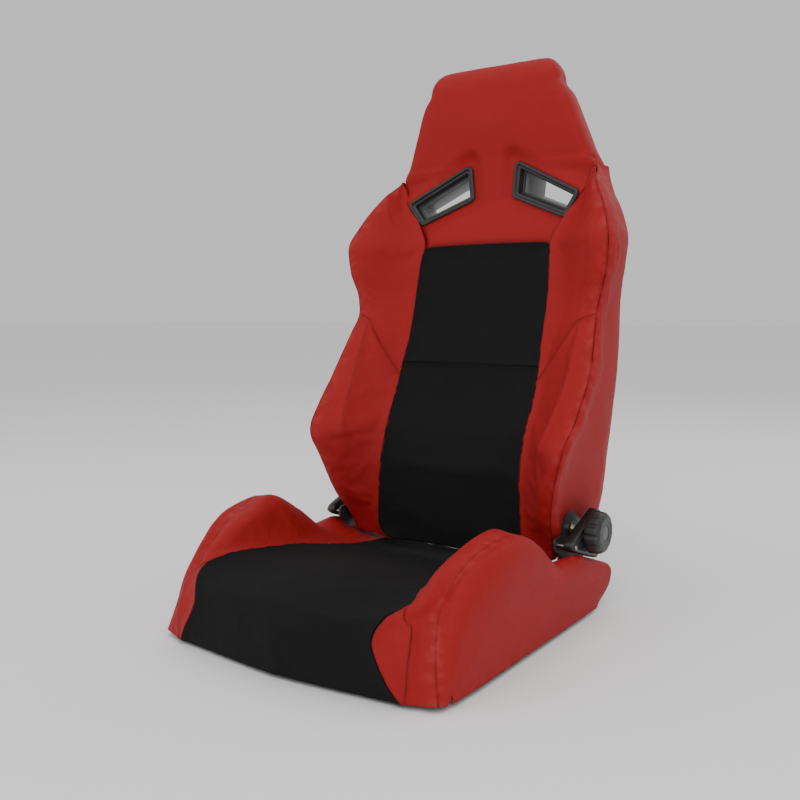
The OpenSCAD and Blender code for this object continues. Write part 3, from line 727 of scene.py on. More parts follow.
@dataclass
class Cover:
    """A sewn cover made of one or more patches welded along their shared edges."""

    piece: Piece
    patches: Sequence[Patch]
    seams: Sequence[Seam]
    outward: float = 1.0
    puff: float = 3.0
    seed: float = 1.0
    wear: Sequence[Seam] = ()
    hole: Optional[Callable[[Array], Array]] = None
    press: Optional[Callable[[Array], Array]] = None
    cloth: bool = True
    thickness: float = 2.4

    def build(self) -> bpy.types.Object:
        """Builds, sews, swells and thickens the cover.

        Returns:
            The cover's object.
        """
        shape = bmesh.new()
        grid_map = shape.loops.layers.uv.new("cloth")
        for patch in self.patches:
            self._lay(shape, patch, grid_map)
        if len(self.patches) > 1:
            bmesh.ops.remove_doubles(shape, verts=shape.verts[:], dist=0.0002)
        # The seam layer holds each point's nearness to a seam: it holds the cloth at its seams and is the
        # mask of the painted shade along the seams.
        seam_layer = shape.verts.layers.float.new("seam")
        wear_layer = shape.verts.layers.float.new("wear")
        shape.normal_update()
        points = np.array([v.co[:] for v in shape.verts])
        normals = np.array([v.normal[:] for v in shape.verts])
        points, near = sewn(points, normals, self.seams, self.puff, self.seed)
        if self.press is not None:
            points = self.press(points)
        worn = np.zeros(len(points))
        for line in self.wear:
            gap = np.linalg.norm(points[:, None, :] - line.points[None, :, :], axis=2).min(1) / MM
            worn = np.maximum(worn, np.exp(-((gap / 12.0) ** 2)))
        for vert, co, n, w in zip(shape.verts, points, near, worn):
            vert.co, vert[seam_layer], vert[wear_layer] = co, n, w
        if self.hole is not None:
            inside = self.hole(points)
            gone = [f for f in shape.faces if all(inside[v.index] for v in f.verts)]
            bmesh.ops.delete(shape, geom=gone, context="FACES")
        made = self.piece.keep(shape)
        if self.cloth:
            self._settle(made)
        subdivide = made.modifiers.new("round", "SUBSURF")
        subdivide.levels = subdivide.render_levels = 1
        wall = made.modifiers.new("wall", "SOLIDIFY")
        wall.thickness, wall.offset, wall.use_even_offset = self.thickness * MM, -1.0, False
        return made

    def _lay(self, shape: bmesh.types.BMesh, patch: Patch, grid_map: object) -> None:
        """Adds one patch's grid to the shape.

        Args:
            shape: The shape.
            patch: The patch.
            grid_map: The layer that holds the cloth's own map.
        """
        nu, nv = len(patch.columns), len(patch.rows)
        made = bmesh.ops.create_grid(shape, x_segments=nv - 1, y_segments=nu - 1, size=0.5)["verts"]
        t, s = patch.places()
        where = patch.skin.at(t, s)
        order = sorted(made, key=lambda v: (round(v.co.y, 6), round(v.co.x, 6)))
        cell = where.reshape(nu, nv, 3)
        arc_u = np.zeros((nu, nv)); arc_v = np.zeros((nu, nv))
        arc_u[1:] = np.cumsum(np.linalg.norm(np.diff(cell, axis=0), axis=2), axis=0)
        arc_v[:, 1:] = np.cumsum(np.linalg.norm(np.diff(cell, axis=1), axis=2), axis=1)
        arc_u -= arc_u[nu // 2]
        flat = {v: (a, b) for v, a, b in zip(order, arc_u.ravel(), arc_v.ravel())}
        for vert, co in zip(order, where):
            vert.co = co
        faces = list({f for v in made for f in v.link_faces})
        for f in faces:
            for loop in f.loops:
                loop[grid_map].uv = flat[loop.vert]
        if self.outward < 0:
            bmesh.ops.reverse_faces(shape, faces=faces)

    def _settle(self, made: bpy.types.Object) -> None:
        """Lets the cover swell under cloth simulation, held at its seams, and keeps the result.

        Args:
            made: The cover.
        """
        mesh = made.data
        start = np.array([v.co[:] for v in mesh.vertices])
        near = np.array([a.value for a in mesh.attributes["seam"].data])
        edges = set()
        count: dict[tuple[int, int], int] = {}
        for poly in mesh.polygons:
            for key in poly.edge_keys:
                count[key] = count.get(key, 0) + 1
        for key, n in count.items():
            if n == 1:
                edges.update(key)
        group = made.vertex_groups.new(name="held")
        group.add(sorted(edges), 1.0, "REPLACE")
        for i in range(len(start)):
            if i not in edges and near[i] > 0.3:
                group.add([i], float(min(1.0, near[i] * 1.2)), "REPLACE")
        cloth = made.modifiers.new("cloth", "CLOTH")
        kit = cloth.settings
        kit.quality, kit.mass = 5, 0.25
        kit.tension_stiffness = kit.compression_stiffness = 18.0
        kit.shear_stiffness, kit.bending_stiffness = 8.0, 0.4
        kit.air_damping = 4.0
        kit.shrink_min = kit.shrink_max = -0.004
        kit.use_pressure, kit.uniform_pressure_force = True, 1.0
        kit.effector_weights.gravity = 0.0
        kit.vertex_group_mass, kit.pin_stiffness = "held", 1.0
        cloth.collision_settings.use_collision = False
        scene = bpy.context.scene
        for frame_number in range(1, 21):
            scene.frame_set(frame_number)
        seen = made.evaluated_get(bpy.context.evaluated_depsgraph_get())
        end = np.array([v.co[:] for v in seen.data.vertices])
        made.modifiers.remove(cloth)
        scene.frame_set(1)
        move = end - start
        size = np.linalg.norm(move, axis=1, keepdims=True)
        cap = 3.0 * MM
        rim = start[sorted(edges)]
        away = np.concatenate([np.linalg.norm(part[:, None, :] - rim[None, :, :], axis=2).min(1)
                               for part in np.array_split(start, 8)])
        share = (1 - np.exp(-((away / 0.014) ** 2)))[:, None] * (1 - 0.8 * near)[:, None]
        move = move * (cap * np.tanh(size / cap) / np.maximum(size, 1e-9)) * share
        mesh.vertices.foreach_set("co", (start + move).astype(np.float32).ravel())
        mesh.update()
        made.vertex_groups.remove(group)
        LOG.info("%s settled, most %.1f mm", made.name, float(size.max()) / MM)


def tube(shape: bmesh.types.BMesh, line: Array, radius: float, sides: int = 8, closed: bool = False) -> None:
    """Adds a round tube along a line: a circle that is extruded from point to point.

    Args:
        shape: The shape to add to.
        line: Points in metres.
        radius: Radius in metres.
        sides: Sides of its section.
        closed: Whether its end meets its start.
    """
    if closed:
        line = np.vstack([line, line[:1]])
    tangents = np.gradient(line, axis=0)
    if closed:
        tangents[0] = tangents[-1] = tangents[0] + tangents[-1]
    ring, first = None, None
    for k, (point, tangent) in enumerate(zip(line, tangents)):
        turn = Vector(tangent).to_track_quat("Z", "Y").to_matrix().to_4x4()
        if k and closed and k == len(line) - 1:
            bmesh.ops.bridge_loops(shape, edges=[*_ring_edges(ring), *_ring_edges(first)])
            break
        made = bmesh.ops.create_circle(shape, segments=sides, radius=radius,
                                       matrix=Matrix.Translation(Vector(point)) @ turn)["verts"]
        if ring is not None:
            bmesh.ops.bridge_loops(shape, edges=[*_ring_edges(ring), *_ring_edges(made)])
        else:
            first = made
        ring = made
    if not closed:
        for end in (first, ring):
            bmesh.ops.contextual_create(shape, geom=_ring_edges(end))


def _ring_edges(verts: Iterable[bmesh.types.BMVert]) -> list[bmesh.types.BMEdge]:
    """The edges that lie wholly in a ring of vertices."""
    ring = set(verts)
    return list({e for v in ring for e in v.link_edges if e.verts[0] in ring and e.verts[1] in ring})


def moulding(outline: Sequence[tuple[float, float]], profile: Sequence[tuple[float, float]], radius: float,
             to_space: Callable[[float, float, float], tuple[float, float, float]],
             capped: bool) -> bmesh.types.BMesh:
    """Sweeps a profile round a convex outline, with concentric round corners.

    Args:
        outline: Corners, anticlockwise, in millimetres.
        profile: Steps of (inwards, depth), in millimetres.
        radius: Radius of the outline's corners.
        to_space: Turns (across, up, depth) into a point.
        capped: Whether the last step is closed by a face.

    Returns:
        The shape.
    """
    shape = bmesh.new()
    count, last = len(outline), None
    for inwards, depth in profile:
        lines, corners, reach = [], [], []
        for k in range(count):
            (ax, az), (bx, bz) = outline[k], outline[(k + 1) % count]
            length = math.hypot(bx - ax, bz - az)
            nx, nz = -(bz - az) / length, (bx - ax) / length
            lines.append((nx, nz, nx * ax + nz * az + inwards))
        for k in range(count):
            (n1, m1, d1), (n2, m2, d2) = lines[k - 1], lines[k]
            det = n1 * m2 - n2 * m1
            corners.append(((d1 * m2 - d2 * m1) / det, (n1 * d2 - n2 * d1) / det))
            half = (math.pi - math.acos(max(-1.0, min(1.0, n1 * n2 + m1 * m2)))) / 2
            reach.append(max(radius - inwards, 2.0) / math.tan(half))
        verts = [shape.verts.new(Vector(to_space(x, z, depth)) * MM) for x, z in corners]
        shape.faces.new(verts)
        for vert, offset in zip(verts, reach):
            bmesh.ops.bevel(shape, geom=[vert], affect="VERTICES", offset=offset * MM, offset_type="OFFSET",
                            segments=7, profile=0.5, material=-1)
        face = next(f for f in shape.faces if len(f.verts) > 4)
        edges = list(face.edges)
        bmesh.ops.delete(shape, geom=[face], context="FACES_ONLY")
        if last is not None:
            bmesh.ops.bridge_loops(shape, edges=[*last, *edges])
        last = edges
    if capped:
        bmesh.ops.contextual_create(shape, geom=last)
    bmesh.ops.recalc_face_normals(shape, faces=shape.faces[:])
    return shape


def face_towards(shape: bmesh.types.BMesh, direction: tuple[float, float, float]) -> None:
    """Turns a shape's faces so that most of its area looks one way.

    Args:
        shape: The shape.
        direction: The way.
    """
    shape.normal_update()
    if sum(f.normal.dot(Vector(direction)) * f.calc_area() for f in shape.faces) < 0:
        bmesh.ops.reverse_faces(shape, faces=shape.faces[:])


def surface_tree(pieces: Sequence[bpy.types.Object]) -> BVHTree:
    """A search tree over the finished faces of some pieces.

    Args:
        pieces: The pieces.

    Returns:
        The tree.
    """
    for piece in pieces:
        for modifier in piece.modifiers:
            modifier.show_viewport = modifier.type != "SOLIDIFY"
    graph = bpy.context.evaluated_depsgraph_get()
    points: list[list[float]] = []
    faces: list[list[int]] = []
    for piece in pieces:
        mesh = piece.evaluated_get(graph).data
        base = len(points)
        co = np.empty(len(mesh.vertices) * 3, np.float32)
        mesh.vertices.foreach_get("co", co)
        points += co.reshape(-1, 3).tolist()
        corner = np.empty(len(mesh.loops), np.int32)
        mesh.loops.foreach_get("vertex_index", corner)
        faces += (corner.reshape(-1, 4) + base).tolist()
    for piece in pieces:
        for modifier in piece.modifiers:
            modifier.show_viewport = True
    return BVHTree.FromPolygons(points, faces)


@dataclass
class Stitching:
    """Rows of stitches laid on finished covers along a seam."""

    piece: Piece
    seams: Sequence[tuple[Seam, Sequence[float]]]
    covers: Sequence[bpy.types.Object]
    length: float = 3.6
    gap: float = 1.3
    radius: float = 0.45

    def build(self) -> bpy.types.Object:
        """Lays the stitches.

        Returns:
            The stitches as one object.
        """
        shape = bmesh.new()
        tree = surface_tree(self.covers)
        spots = []
        for seam, rows in self.seams:
            run = np.concatenate([[0], np.cumsum(np.linalg.norm(np.diff(seam.points, axis=0), axis=1))])
            for d in np.arange(0.003, run[-1] - 0.003, (self.length + self.gap) * MM):
                if np.interp(d, run, seam.pull) < 0.5:
                    continue
                here, ahead = (Vector([float(np.interp(x, run, seam.points[:, k])) for k in range(3)])
                               for x in (d, d + 0.002))
                spots += [(here, (ahead - here).normalized(), row) for row in rows]
        for k in range(0, len(spots), 40):
            batch = bmesh.new()
            for here, along, row in spots[k:k + 40]:
                self._stitch(batch, tree, here, along, row)
            held = bpy.data.meshes.new("batch")
            batch.to_mesh(held)
            batch.free()
            shape.from_mesh(held)
            bpy.data.meshes.remove(held)
        LOG.info("%s: %d stitches", self.piece.name, len(spots))
        return self.piece.keep(shape)

    def _stitch(self, shape: bmesh.types.BMesh, tree: BVHTree, here: Vector, along: Vector,
                row: float) -> None:
        """Adds one stitch.

        Args:
            shape: The shape to add to.
            tree: The covers' search tree.
            here: A point on the seam.
            along: The seam's direction.
            row: How far to the side it lies, in millimetres.
        """
        _, normal, _, _ = tree.find_nearest(here)
        if normal is None:
            return
        spot, normal, _, _ = tree.find_nearest(here + along.cross(normal).normalized() * row * MM)
        if spot is None or normal.length < 0.5:
            return
        along = (along - normal * along.dot(normal)).normalized()
        side = normal.cross(along)
        turn = Matrix((along, side, normal)).transposed().to_4x4()
        size = Matrix.Diagonal((self.length / 2 * MM, self.radius * MM, self.radius * MM, 1))
        bmesh.ops.create_uvsphere(shape, u_segments=6, v_segments=4, radius=1.0,
                                  matrix=Matrix.Translation(spot + normal * 0.12 * MM) @ turn @ size)


# ---------------------------------------------------------------- the backrest's upholstery
def _lines(rows: Sequence[Sequence[float]]) -> KeyLine:
    """A key line from rows of (x, y, z), with z as its station."""
    rows = sorted(rows, key=lambda r: r[2])
    return KeyLine([r[2] for r in rows], rows)


@dataclass
class BackShape:
    """The backrest's skin and the places of its seams."""

    crown_start: float = 925.0
    crown_rise: float = 45.0
    crown_draw: float = 40.0
    crown_y: float = 337.0
    seam_z: float = 414.0
    insert_top: float = 634.0
    neck_z: float = 767.0
    corner_r: float = 32.0
    corner_x: float = 119.0
    insert_low: float = 86.0
    rear_low: float = 150.0
    vee: Sequence[tuple[float, float]] = ((1.0, 388.0), (1.74, 496.0), (2.0, 508.0))
    bolster_low: float = 96.0
    skin: Skin = field(init=False)

    def __post_init__(self) -> None:
        """Makes the skin from its key lines."""
        middle = [(0, y, z) for z,
                  y in ((83, 152), (125, 146), (214, 146), (289, 163), (353, 195), (414, 218),
                                         (472, 240), (531, 257), (601, 270), (634, 280), (658, 287),
                                         (723, 305),
                                         (793, 301), (864, 290), (925, 290))]
        edge = [(151, 152, 83), (151, 146, 155), (148, 146, 214), (146, 163, 289), (147, 195, 353),
                (145, 220, 415), (141, 240, 472), (141, 257, 531), (138, 270, 601), (135, 279, 634),
                (155, 290, 678), (186, 299, 724), (202, 304, 767), (186, 303, 791), (163, 297, 846),
                (140, 291, 901), (126, 291, 925)]
        ridge = [(202, 158, 83), (211, 138, 128), (221, 104, 177), (239, 82, 245), (253, 73, 284),
                 (261, 107, 335),
                 (261, 153, 392), (252, 196, 465), (246, 218, 506), (251, 222, 542), (264, 214, 591),
                 (267, 211, 630),
                 (251, 233, 680), (220, 267, 734), (202, 305, 767), (186, 303, 791), (163, 297, 846),
                 (140, 291, 901), (126, 291, 925)]
        side = [(205, 200, 83), (214, 185, 128), (225, 150, 177), (243, 128, 245), (257, 120, 284),
                (265, 153, 335),
                (266, 198, 392), (257, 241, 465), (251, 262, 506), (256, 267, 542), (269, 259, 591),
                (272, 257, 630),
                (256, 280, 680), (226, 315, 734), (209, 338, 767), (192, 337, 791), (169, 333, 846),
                (146, 328, 901), (129, 326, 925)]
        corner = [(203, 298, 83), (208, 303, 128), (218, 304, 158), (226, 303, 200), (230, 304, 246),
                  (233, 317, 316),
                  (233, 335, 387), (231, 350, 459), (229, 357, 534), (232, 361, 599), (235, 364, 639),
                  (226, 366, 677), (202, 369, 734), (190, 371, 767), (178, 371, 791), (156, 370, 846),
                  (133, 364, 901), (120, 358, 925)]
        rear = [(0, 300, 83), (0, 303, 170), (0, 306, 246), (0, 320, 316), (0, 337, 387), (0, 354, 459),
                (0, 362, 534),
                (0, 366, 599), (0, 372, 677), (0, 380, 760), (0, 382, 850), (0, 373, 915), (0, 371, 925)]
        lines = []
        for rows in (middle, edge, ridge, side, corner, rear):
            lines.append(_lines([*rows, *self._crown(rows[-1])]))
        self.skin = Skin(lines, self._crease, (725.0, 790.0, 46.0))

    def _crown(self, last: Sequence[float]) -> list[tuple[float, float, float]]:
        """Stations that round a key line over the top of the head.

        Args:
            last: Its point where the crown starts.

        Returns:
            Points, whose z is the station.
        """
        out = []
        for turn in (15, 30, 45, 60, 75, 90):
            a = math.radians(turn)
            x = last[0] - (self.crown_draw * (1 - math.cos(a)) if last[0] else 0)
            y = self.crown_y + (last[1] - self.crown_y) * max(math.cos(a), 0.0) ** 0.8
            out.append((x, y, self.crown_start + self.crown_rise * math.sin(a)))
        return out

    def _crease(self, k: int, s: Array) -> Array:
        """How sharp the skin is at a key line.

        Args:
            k: The line's number.
            s: Stations.

        Returns:
            Sharpness for each.
        """
        fade = 1 - np.clip((s - self.neck_z) / 35, 0, 1)
        rise = np.clip((s - self.neck_z + 45) / 45, 0, 1)
        return {1: 0.9 * fade, 2: (0.1 + 0.75 * rise) * fade, 4: 0.25 + 0 * s}.get(k, 0 * s)

    def vee_at(self, t: Array) -> Array:
        """Height of the seam between bolster and shoulder, across the wing."""
        return np.interp(np.abs(t), [p[0] for p in self.vee], [p[1] for p in self.vee])

    def insert_bottom(self, t: Array) -> Array:
        """Height of the insert's lower edge, with its round corners."""
        over = np.clip(np.abs(t) * 151 - self.corner_x, 0, self.corner_r)
        return self.insert_low + self.corner_r - np.sqrt(self.corner_r ** 2 - over ** 2)

    def insert_high(self, t: Array) -> Array:
        """Height of the insert's upper edge, which bows up a little and has round corners."""
        over = np.clip((np.abs(t) - 0.88) / 0.12, 0, 1)
        return self.insert_top + 2.0 * (1 - np.asarray(t) ** 2) - 15.0 * (1 - np.sqrt(1 - over ** 2))

    def bolster_inner(self, s: Array) -> Array:
        """Where the bolster meets the insert, across, at each height."""
        drop = np.clip(self.insert_low + self.corner_r - s, 0, self.corner_r)
        return np.minimum(1.0, (self.corner_x + np.sqrt(self.corner_r ** 2 - drop ** 2)) / 151)


@dataclass
class BackUpholstery:
    """Every sewn piece of the backrest."""

    shape: BackShape = field(default_factory=BackShape)
    body: str = "backrest"
    covers: list[bpy.types.Object] = field(default_factory=list)

    def seams(self, side: float) -> dict[str, Seam]:
        """The seams of one side.

        Args:
            side: 1 for the +X side, -1 for the other.

        Returns:
            Each seam by name.
        """
        b, skin = self.shape, self.shape.skin
        corner = [(side * t, float(b.insert_bottom(np.array(t))))
                  for t in (0.79, 0.86, 0.92, 0.96, 0.985, 1.0)]
        return {
            "insert": Seam.on(skin, [*corner, *[(side, z) for z in (160, 250, 414, 500, 634)]], 4.5, 8),
            "neck": Seam.on(skin, [(side, z) for z in (634, 700, 767)], 3.5, 8),
            "vee": Seam.on(skin, [(side * t, z) for t,
                                  z in ((1.0, 388), (1.35, 437), (1.74, 496), (2.0, 508))], 3.2, 7),
            "ridge": Seam.on(skin, [(side * 2, z) for z in (b.bolster_low, 250, 350, 450, 600, 767)], 2.6, 7),
            "second": Seam.on(skin, [(side * 1.74, 496), (side * 1.66, 420), (side * 1.6, 340),
                                     (side * 1.55, 290),
                                     (side * 1.5, 245)], 2.4, 6, (1, 1, 0.95, 0.7, 0.0)),
            "crease": Seam.on(skin, [(side * 2.0, 512), (side * 1.86, 536), (side * 1.74, 556)], 2.0, 5,
                              (1, 0.8, 0)),
            "corner": Seam.on(skin, [(side * 4, z) for z in (150, 300, 500, 700, 850, 925, 970)], 3.0, 7),
            "wrap": Seam.on(skin, [(side * t, 767) for t in (2.0, 2.5, 3.0, 3.5, 4.0)], 2.4, 6),
        }

    def build(self, slots: "HarnessSlots") -> None:
        """Builds the covers, welts, stitches and foam.

        Args:
            slots: The harness slots, which pierce the head and rear covers.
        """
        b, skin = self.shape, self.shape.skin
        sides = {"right": self.seams(1.0), "left": self.seams(-1.0)}
        low = Seam.on(skin, [(-1, b.seam_z), (0, b.seam_z + 3), (1, b.seam_z)], 4.0, 8)
        top = Seam.on(skin, [(t, float(b.insert_high(t)))
                             for t in (*np.linspace(-1, -0.88, 7), *np.linspace(-0.8, 0.8, 9),
                                                                    *np.linspace(0.88, 1, 7))], 4.0, 8)
        both = [sides["right"]["insert"], sides["left"]["insert"]]
        columns = eased(64)
        self.covers.append(Cover(
            Piece("insert_lower_cover", self.body, "black_cloth", CLOTH, ("insert_lower",), 0.8),
            [Patch(skin, (fixed(-1), fixed(1)), (lambda u: b.insert_bottom(2 * u - 1), fixed(b.seam_z)),
                   columns, eased(74))],
            [*both, low], outward=1, puff=3.0, seed=3.1).build())
        self.covers.append(Cover(
            Piece("insert_upper_cover", self.body, "black_cloth", CLOTH, ("insert_upper",), 0.8),
            [Patch(skin, (fixed(-1), fixed(1)), (fixed(b.seam_z), lambda u: b.insert_high(2 * u - 1)),
                   columns, eased(54))],
            [*both, low, top], outward=1, puff=3.5, seed=4.7).build())
        for name, side in (("right", 1.0), ("left", -1.0)):
            self._wing(name, side, sides[name])
        self._head(sides, top, slots)
        self._rear(sides, slots)
        self._trim(sides, low, top)

    def _wing(self, name: str, side: float, seams: dict[str, Seam]) -> None:
        """Builds one side's bolster, shoulder and side cover.

        Args:
            name: The side's name.
            side: Its sign.
            seams: Its seams.
        """
        b, skin = self.shape, self.shape.skin
        line = [seams[k] for k in ("insert", "vee", "ridge", "second")]
        self.covers.append(Cover(
            Piece(f"bolster_{name}_cover", self.body, "red_leatherette", RED, (f"back_bolster_{name}",),
                  0.85),
            [Patch(skin, (lambda s: side * b.bolster_inner(s), fixed(2 * side)),
                   (lambda u: np.interp(u, [0, 1], [b.insert_low, b.bolster_low]), lambda u: b.vee_at(1 + u)),
                   even(36), eased(96))],
            line, outward=side, puff=3.0, seed=5 + side, wear=[seams["ridge"]]).build())
        self.covers.append(Cover(
            Piece(f"shoulder_{name}_cover", self.body, "red_leatherette", RED, (f"shoulder_{name}",), 0.85),
            [Patch(skin, (fixed(side), fixed(2 * side)),
                   (lambda u: b.vee_at(1 + u), fixed(b.neck_z)), even(34), eased(84))],
            [seams[k] for k in ("insert", "vee", "ridge", "neck", "crease")], outward=side, puff=3.5,
            seed=8 + side,
            wear=[seams["ridge"]]).build())
        self.covers.append(Cover(
            Piece(f"side_{name}_cover", self.body, "red_leatherette", RED, (f"back_side_{name}",), 0.8),
            [Patch(skin, (fixed(2 * side), fixed(4 * side)),
                   (lambda u: np.interp(u, [0, 0.35, 1], [b.bolster_low, 112, b.rear_low]), fixed(b.neck_z)),
                   eased(44), eased(130))],
            [seams[k] for k in ("ridge", "corner", "wrap")], outward=side, puff=2.0, seed=11 + side,
            wear=[seams["ridge"]], hole=ReclinerTrim.covers).build())

    def _head(self, sides: dict[str, dict[str, Seam]], top: Seam, slots: "HarnessSlots") -> None:
        """Builds the head cover, which wraps over the crown and round to the rear seams.

        Args:
            sides: The seams of each side.
            top: The seam over the insert.
            slots: The harness slots.
        """
        b, skin = self.shape, self.shape.skin
        crown = b.crown_start + b.crown_rise
        foot = float(b.insert_high(1.0))
        rows = np.concatenate([np.linspace(foot, b.neck_z, 38), np.linspace(b.neck_z, crown, 50)[1:]])
        front = Patch(skin, (fixed(-1), fixed(1)), (lambda u: b.insert_high(2 * u - 1), fixed(crown)),
                      eased(90),
                      (rows - foot) / (crown - foot))
        wraps = [Patch(skin, (fixed(2 * side), fixed(4 * side)), (fixed(b.neck_z), fixed(crown)), even(30),
                       even(49))
                 for side in (1, -1)]
        seams = [top] + [sides[n][k] for n in sides for k in ("neck", "corner", "wrap")]
        self.covers.append(WrappedCover(
            Piece("head_cover", self.body, "red_leatherette", RED, ("head_panel", "head_gusset"), 0.85),
            [front, *wraps], seams, outward=1, puff=3.0, seed=21.0,
            hole=slots.inside, press=lambda p: slots.pressed(p, 0.6), cloth=False).build())

    def _rear(self, sides: dict[str, dict[str, Seam]], slots: "HarnessSlots") -> None:
        """Builds the rear cover, the map pocket and its rolled hem.

        Args:
            sides: The seams of each side.
            slots: The harness slots.
        """
        b, skin = self.shape, self.shape.skin
        crown = b.crown_start + b.crown_rise
        corners = [sides[n]["corner"] for n in sides]
        halves = [Patch(skin, (fixed(4 * s), fixed(5 * s)), (fixed(b.rear_low), fixed(crown)), eased(30),
                        eased(150))
                  for s in (1, -1)]
        self.covers.append(WrappedCover(
            Piece("rear_cover", self.body, "red_leatherette", RED, ("rear_panel",), 0.6),
            halves, corners, outward=1, puff=2.0, seed=31.0, hole=slots.inside,
            press=lambda p: slots.pressed(p, slots.depth + 1.4), cloth=False).build())
        low, high = 308.0, 574.0
        points = []
        for s in (1, -1):
            points.append(Patch(skin, (fixed(4.12 * s), fixed(5 * s)), (fixed(low), fixed(high)), even(24),
                                even(56)))
        edge = [Seam.on(skin, [(s * 4.12, low), (s * 4.12, high)], 5.5, 16) for s in (1, -1)]
        edge.append(Seam.on(skin, [(4.12, low), (5, low)], 5.5, 20))
        edge.append(Seam.on(skin, [(-4.12, low), (-5, low)], 5.5, 20))
        pocket = WrappedCover(
            Piece("map_pocket_cover", self.body, "red_leatherette", RED, ("map_pocket",)),
            points, edge, outward=1, puff=0.0, seed=35.0, cloth=False, thickness=1.6, lift=7.0).build()
        self.covers.append(pocket)
        self.hem = self._hem(high)

    def _hem(self, high: float) -> bpy.types.Object:
        """The pocket's rolled and elasticated upper hem.

        Args:
            high: Height of its mouth.

        Returns:
            The hem.
        """
        skin = self.shape.skin
        t = np.concatenate([np.linspace(4.12, 5, 40), -np.linspace(5, 4.12, 40)[1:]])
        line = skin.at(t, np.full(len(t), high))
        out = skin.normal(np.sign(t) * np.minimum(np.abs(t), 4.98), np.full(len(t), high), -5, 5, 1)
        out[:, 1] = np.abs(out[:, 1])
        out[:, 0] = np.sign(line[:, 0]) * np.abs(out[:, 0])
        line = line + out * 7.5 * MM + np.array([0, 0, 2.0 * MM])
        fold = 0.4 * np.sin(np.arange(len(t)) * 1.9) + 0.25 * np.sin(np.arange(len(t)) * 3.3 + 1)
        line[:, 1] += fold * MM
        shape = bmesh.new()
        shape.verts.layers.float.new("seam"), shape.verts.layers.float.new("wear")
        tube(shape, line, 5.6 * MM, 14)
        return Piece("map_pocket_hem", self.body, "red_leatherette", RED, ("pocket_hem",)).keep(shape)

    def _trim(self, sides: dict[str, dict[str, Seam]], low: Seam, top: Seam) -> None:
        """Lays the welts and stitches, and fills the covers with foam.

        Args:
            sides: The seams of each side.
            low: The seam across the insert.
            top: The seam over the insert.
        """
        tree = surface_tree(self.covers)
        ring = self._insert_ring()
        shape = bmesh.new()
        shape.verts.layers.float.new("seam"), shape.verts.layers.float.new("wear")
        tube(shape, sink(tree, ring, 1.1), 1.9 * MM, 8, closed=True)
        Piece("insert_welt", self.body, "black_cloth", WELT).keep(shape)
        shape = bmesh.new()
        shape.verts.layers.float.new("seam"), shape.verts.layers.float.new("wear")
        for name in sides:
            for key in ("ridge", "vee", "neck", "wrap", "corner"):
                tube(shape, sink(tree, sides[name][key].points[::2], -0.7), 1.6 * MM, 6)
        Piece("back_seam_folds", self.body, "red_leatherette", RED).keep(shape)
        rows = []
        for name in sides:
            rows += [(sides[name]["ridge"], (-4.2, 4.2)), (sides[name]["vee"], (-2.6, 2.6)),
                     (sides[name]["second"], (-2.4,)), (sides[name]["neck"], (2.6,)),
                     (sides[name]["corner"], (-3.0,)),
                     (sides[name]["wrap"], (3.0,))]
        Stitching(Piece("back_stitches", self.body, "red_leatherette", RED_THREAD), rows, self.covers).build()
        Stitching(Piece("insert_stitches", self.body, "black_cloth", BLACK_THREAD),
                  [(low, (-3.0, 3.0)), (top, (-3.4,))], self.covers).build()
        self._underside()
        self._foam()

    def _underside(self) -> None:
        """Closes the backrest underneath with a cloth panel from the front's lower edge to the rear's."""
        b, skin = self.shape, self.shape.skin
        shape = bmesh.new()
        grid_map = shape.loops.layers.uv.new("cloth")
        shape.verts.layers.float.new("seam"), shape.verts.layers.float.new("wear")
        made = bmesh.ops.create_grid(shape, x_segments=30, y_segments=18, size=1.0)["verts"]
        for vert in made:
            across, back = vert.co.x, vert.co.y / 2 + 0.5
            x = abs(across) * 194
            t = (float(b.bolster_inner(np.array(90.0))) * min(x / 119, 1) if x < 119
                 else np.interp(x, [119, 151, 194], [0.79, 1, 1.62]))
            low = float(b.insert_bottom(np.array(t))) if t <= 1 else float(np.interp(t, [1, 2],
                                                                                     [b.insert_low,
                                                                                      b.bolster_low]))
            front = skin.at(np.array([t]), np.array([low]))[0]
            rear_t = float(np.interp(x, [0, 194], [5, 4.2]))
            rear = skin.at(np.array([rear_t]), np.array([b.rear_low]))[0]
            co = front * (1 - back) + rear * back
            sag = -3 * math.sin(math.pi * back) * MM
            vert.co = Vector((math.copysign(x * MM, across), co[1] + (5 * MM if back < 0.01 else 0),
                              co[2] - sag + 0.6 * MM * noise.noise(Vector((x * 0.03, back * 4, 2)))))
        for face in shape.faces:
            for loop in face.loops:
                loop[grid_map].uv = loop.vert.co.xy
        shape.normal_update()
        if sum(f.normal.z for f in shape.faces) > 0:
            bmesh.ops.reverse_faces(shape, faces=shape.faces[:])
        made = Piece("back_underside", self.body, "black_cloth", CLOTH).keep(shape)
        HarnessSlots._wall(made, 1.4)

    def _insert_ring(self) -> Array:
        """The closed line round the insert, with its upper corners rounded."""
        b, skin = self.shape, self.shape.skin
        right = []
        for t in np.linspace(0, 0.79, 14):
            right.append((t, b.insert_low))
        for a in np.linspace(4, 90, 10):
            x = b.corner_x + b.corner_r * math.sin(math.radians(a))
            right.append((x / 151, b.insert_low + b.corner_r * (1 - math.cos(math.radians(a)))))
        for z in np.linspace(125, float(b.insert_high(1.0)), 90):
            right.append((1.0, z))
        for x in (0.998, 0.992, 0.98, 0.965, 0.945, 0.92, 0.88, *np.linspace(0.84, 0.0, 16)):
            right.append((x, float(b.insert_high(x))))
        right = np.array(right)
        left = right[::-1][1:-1] * [-1, 1]
        path = np.vstack([right, left])
        return skin.at(path[:, 0], path[:, 1])

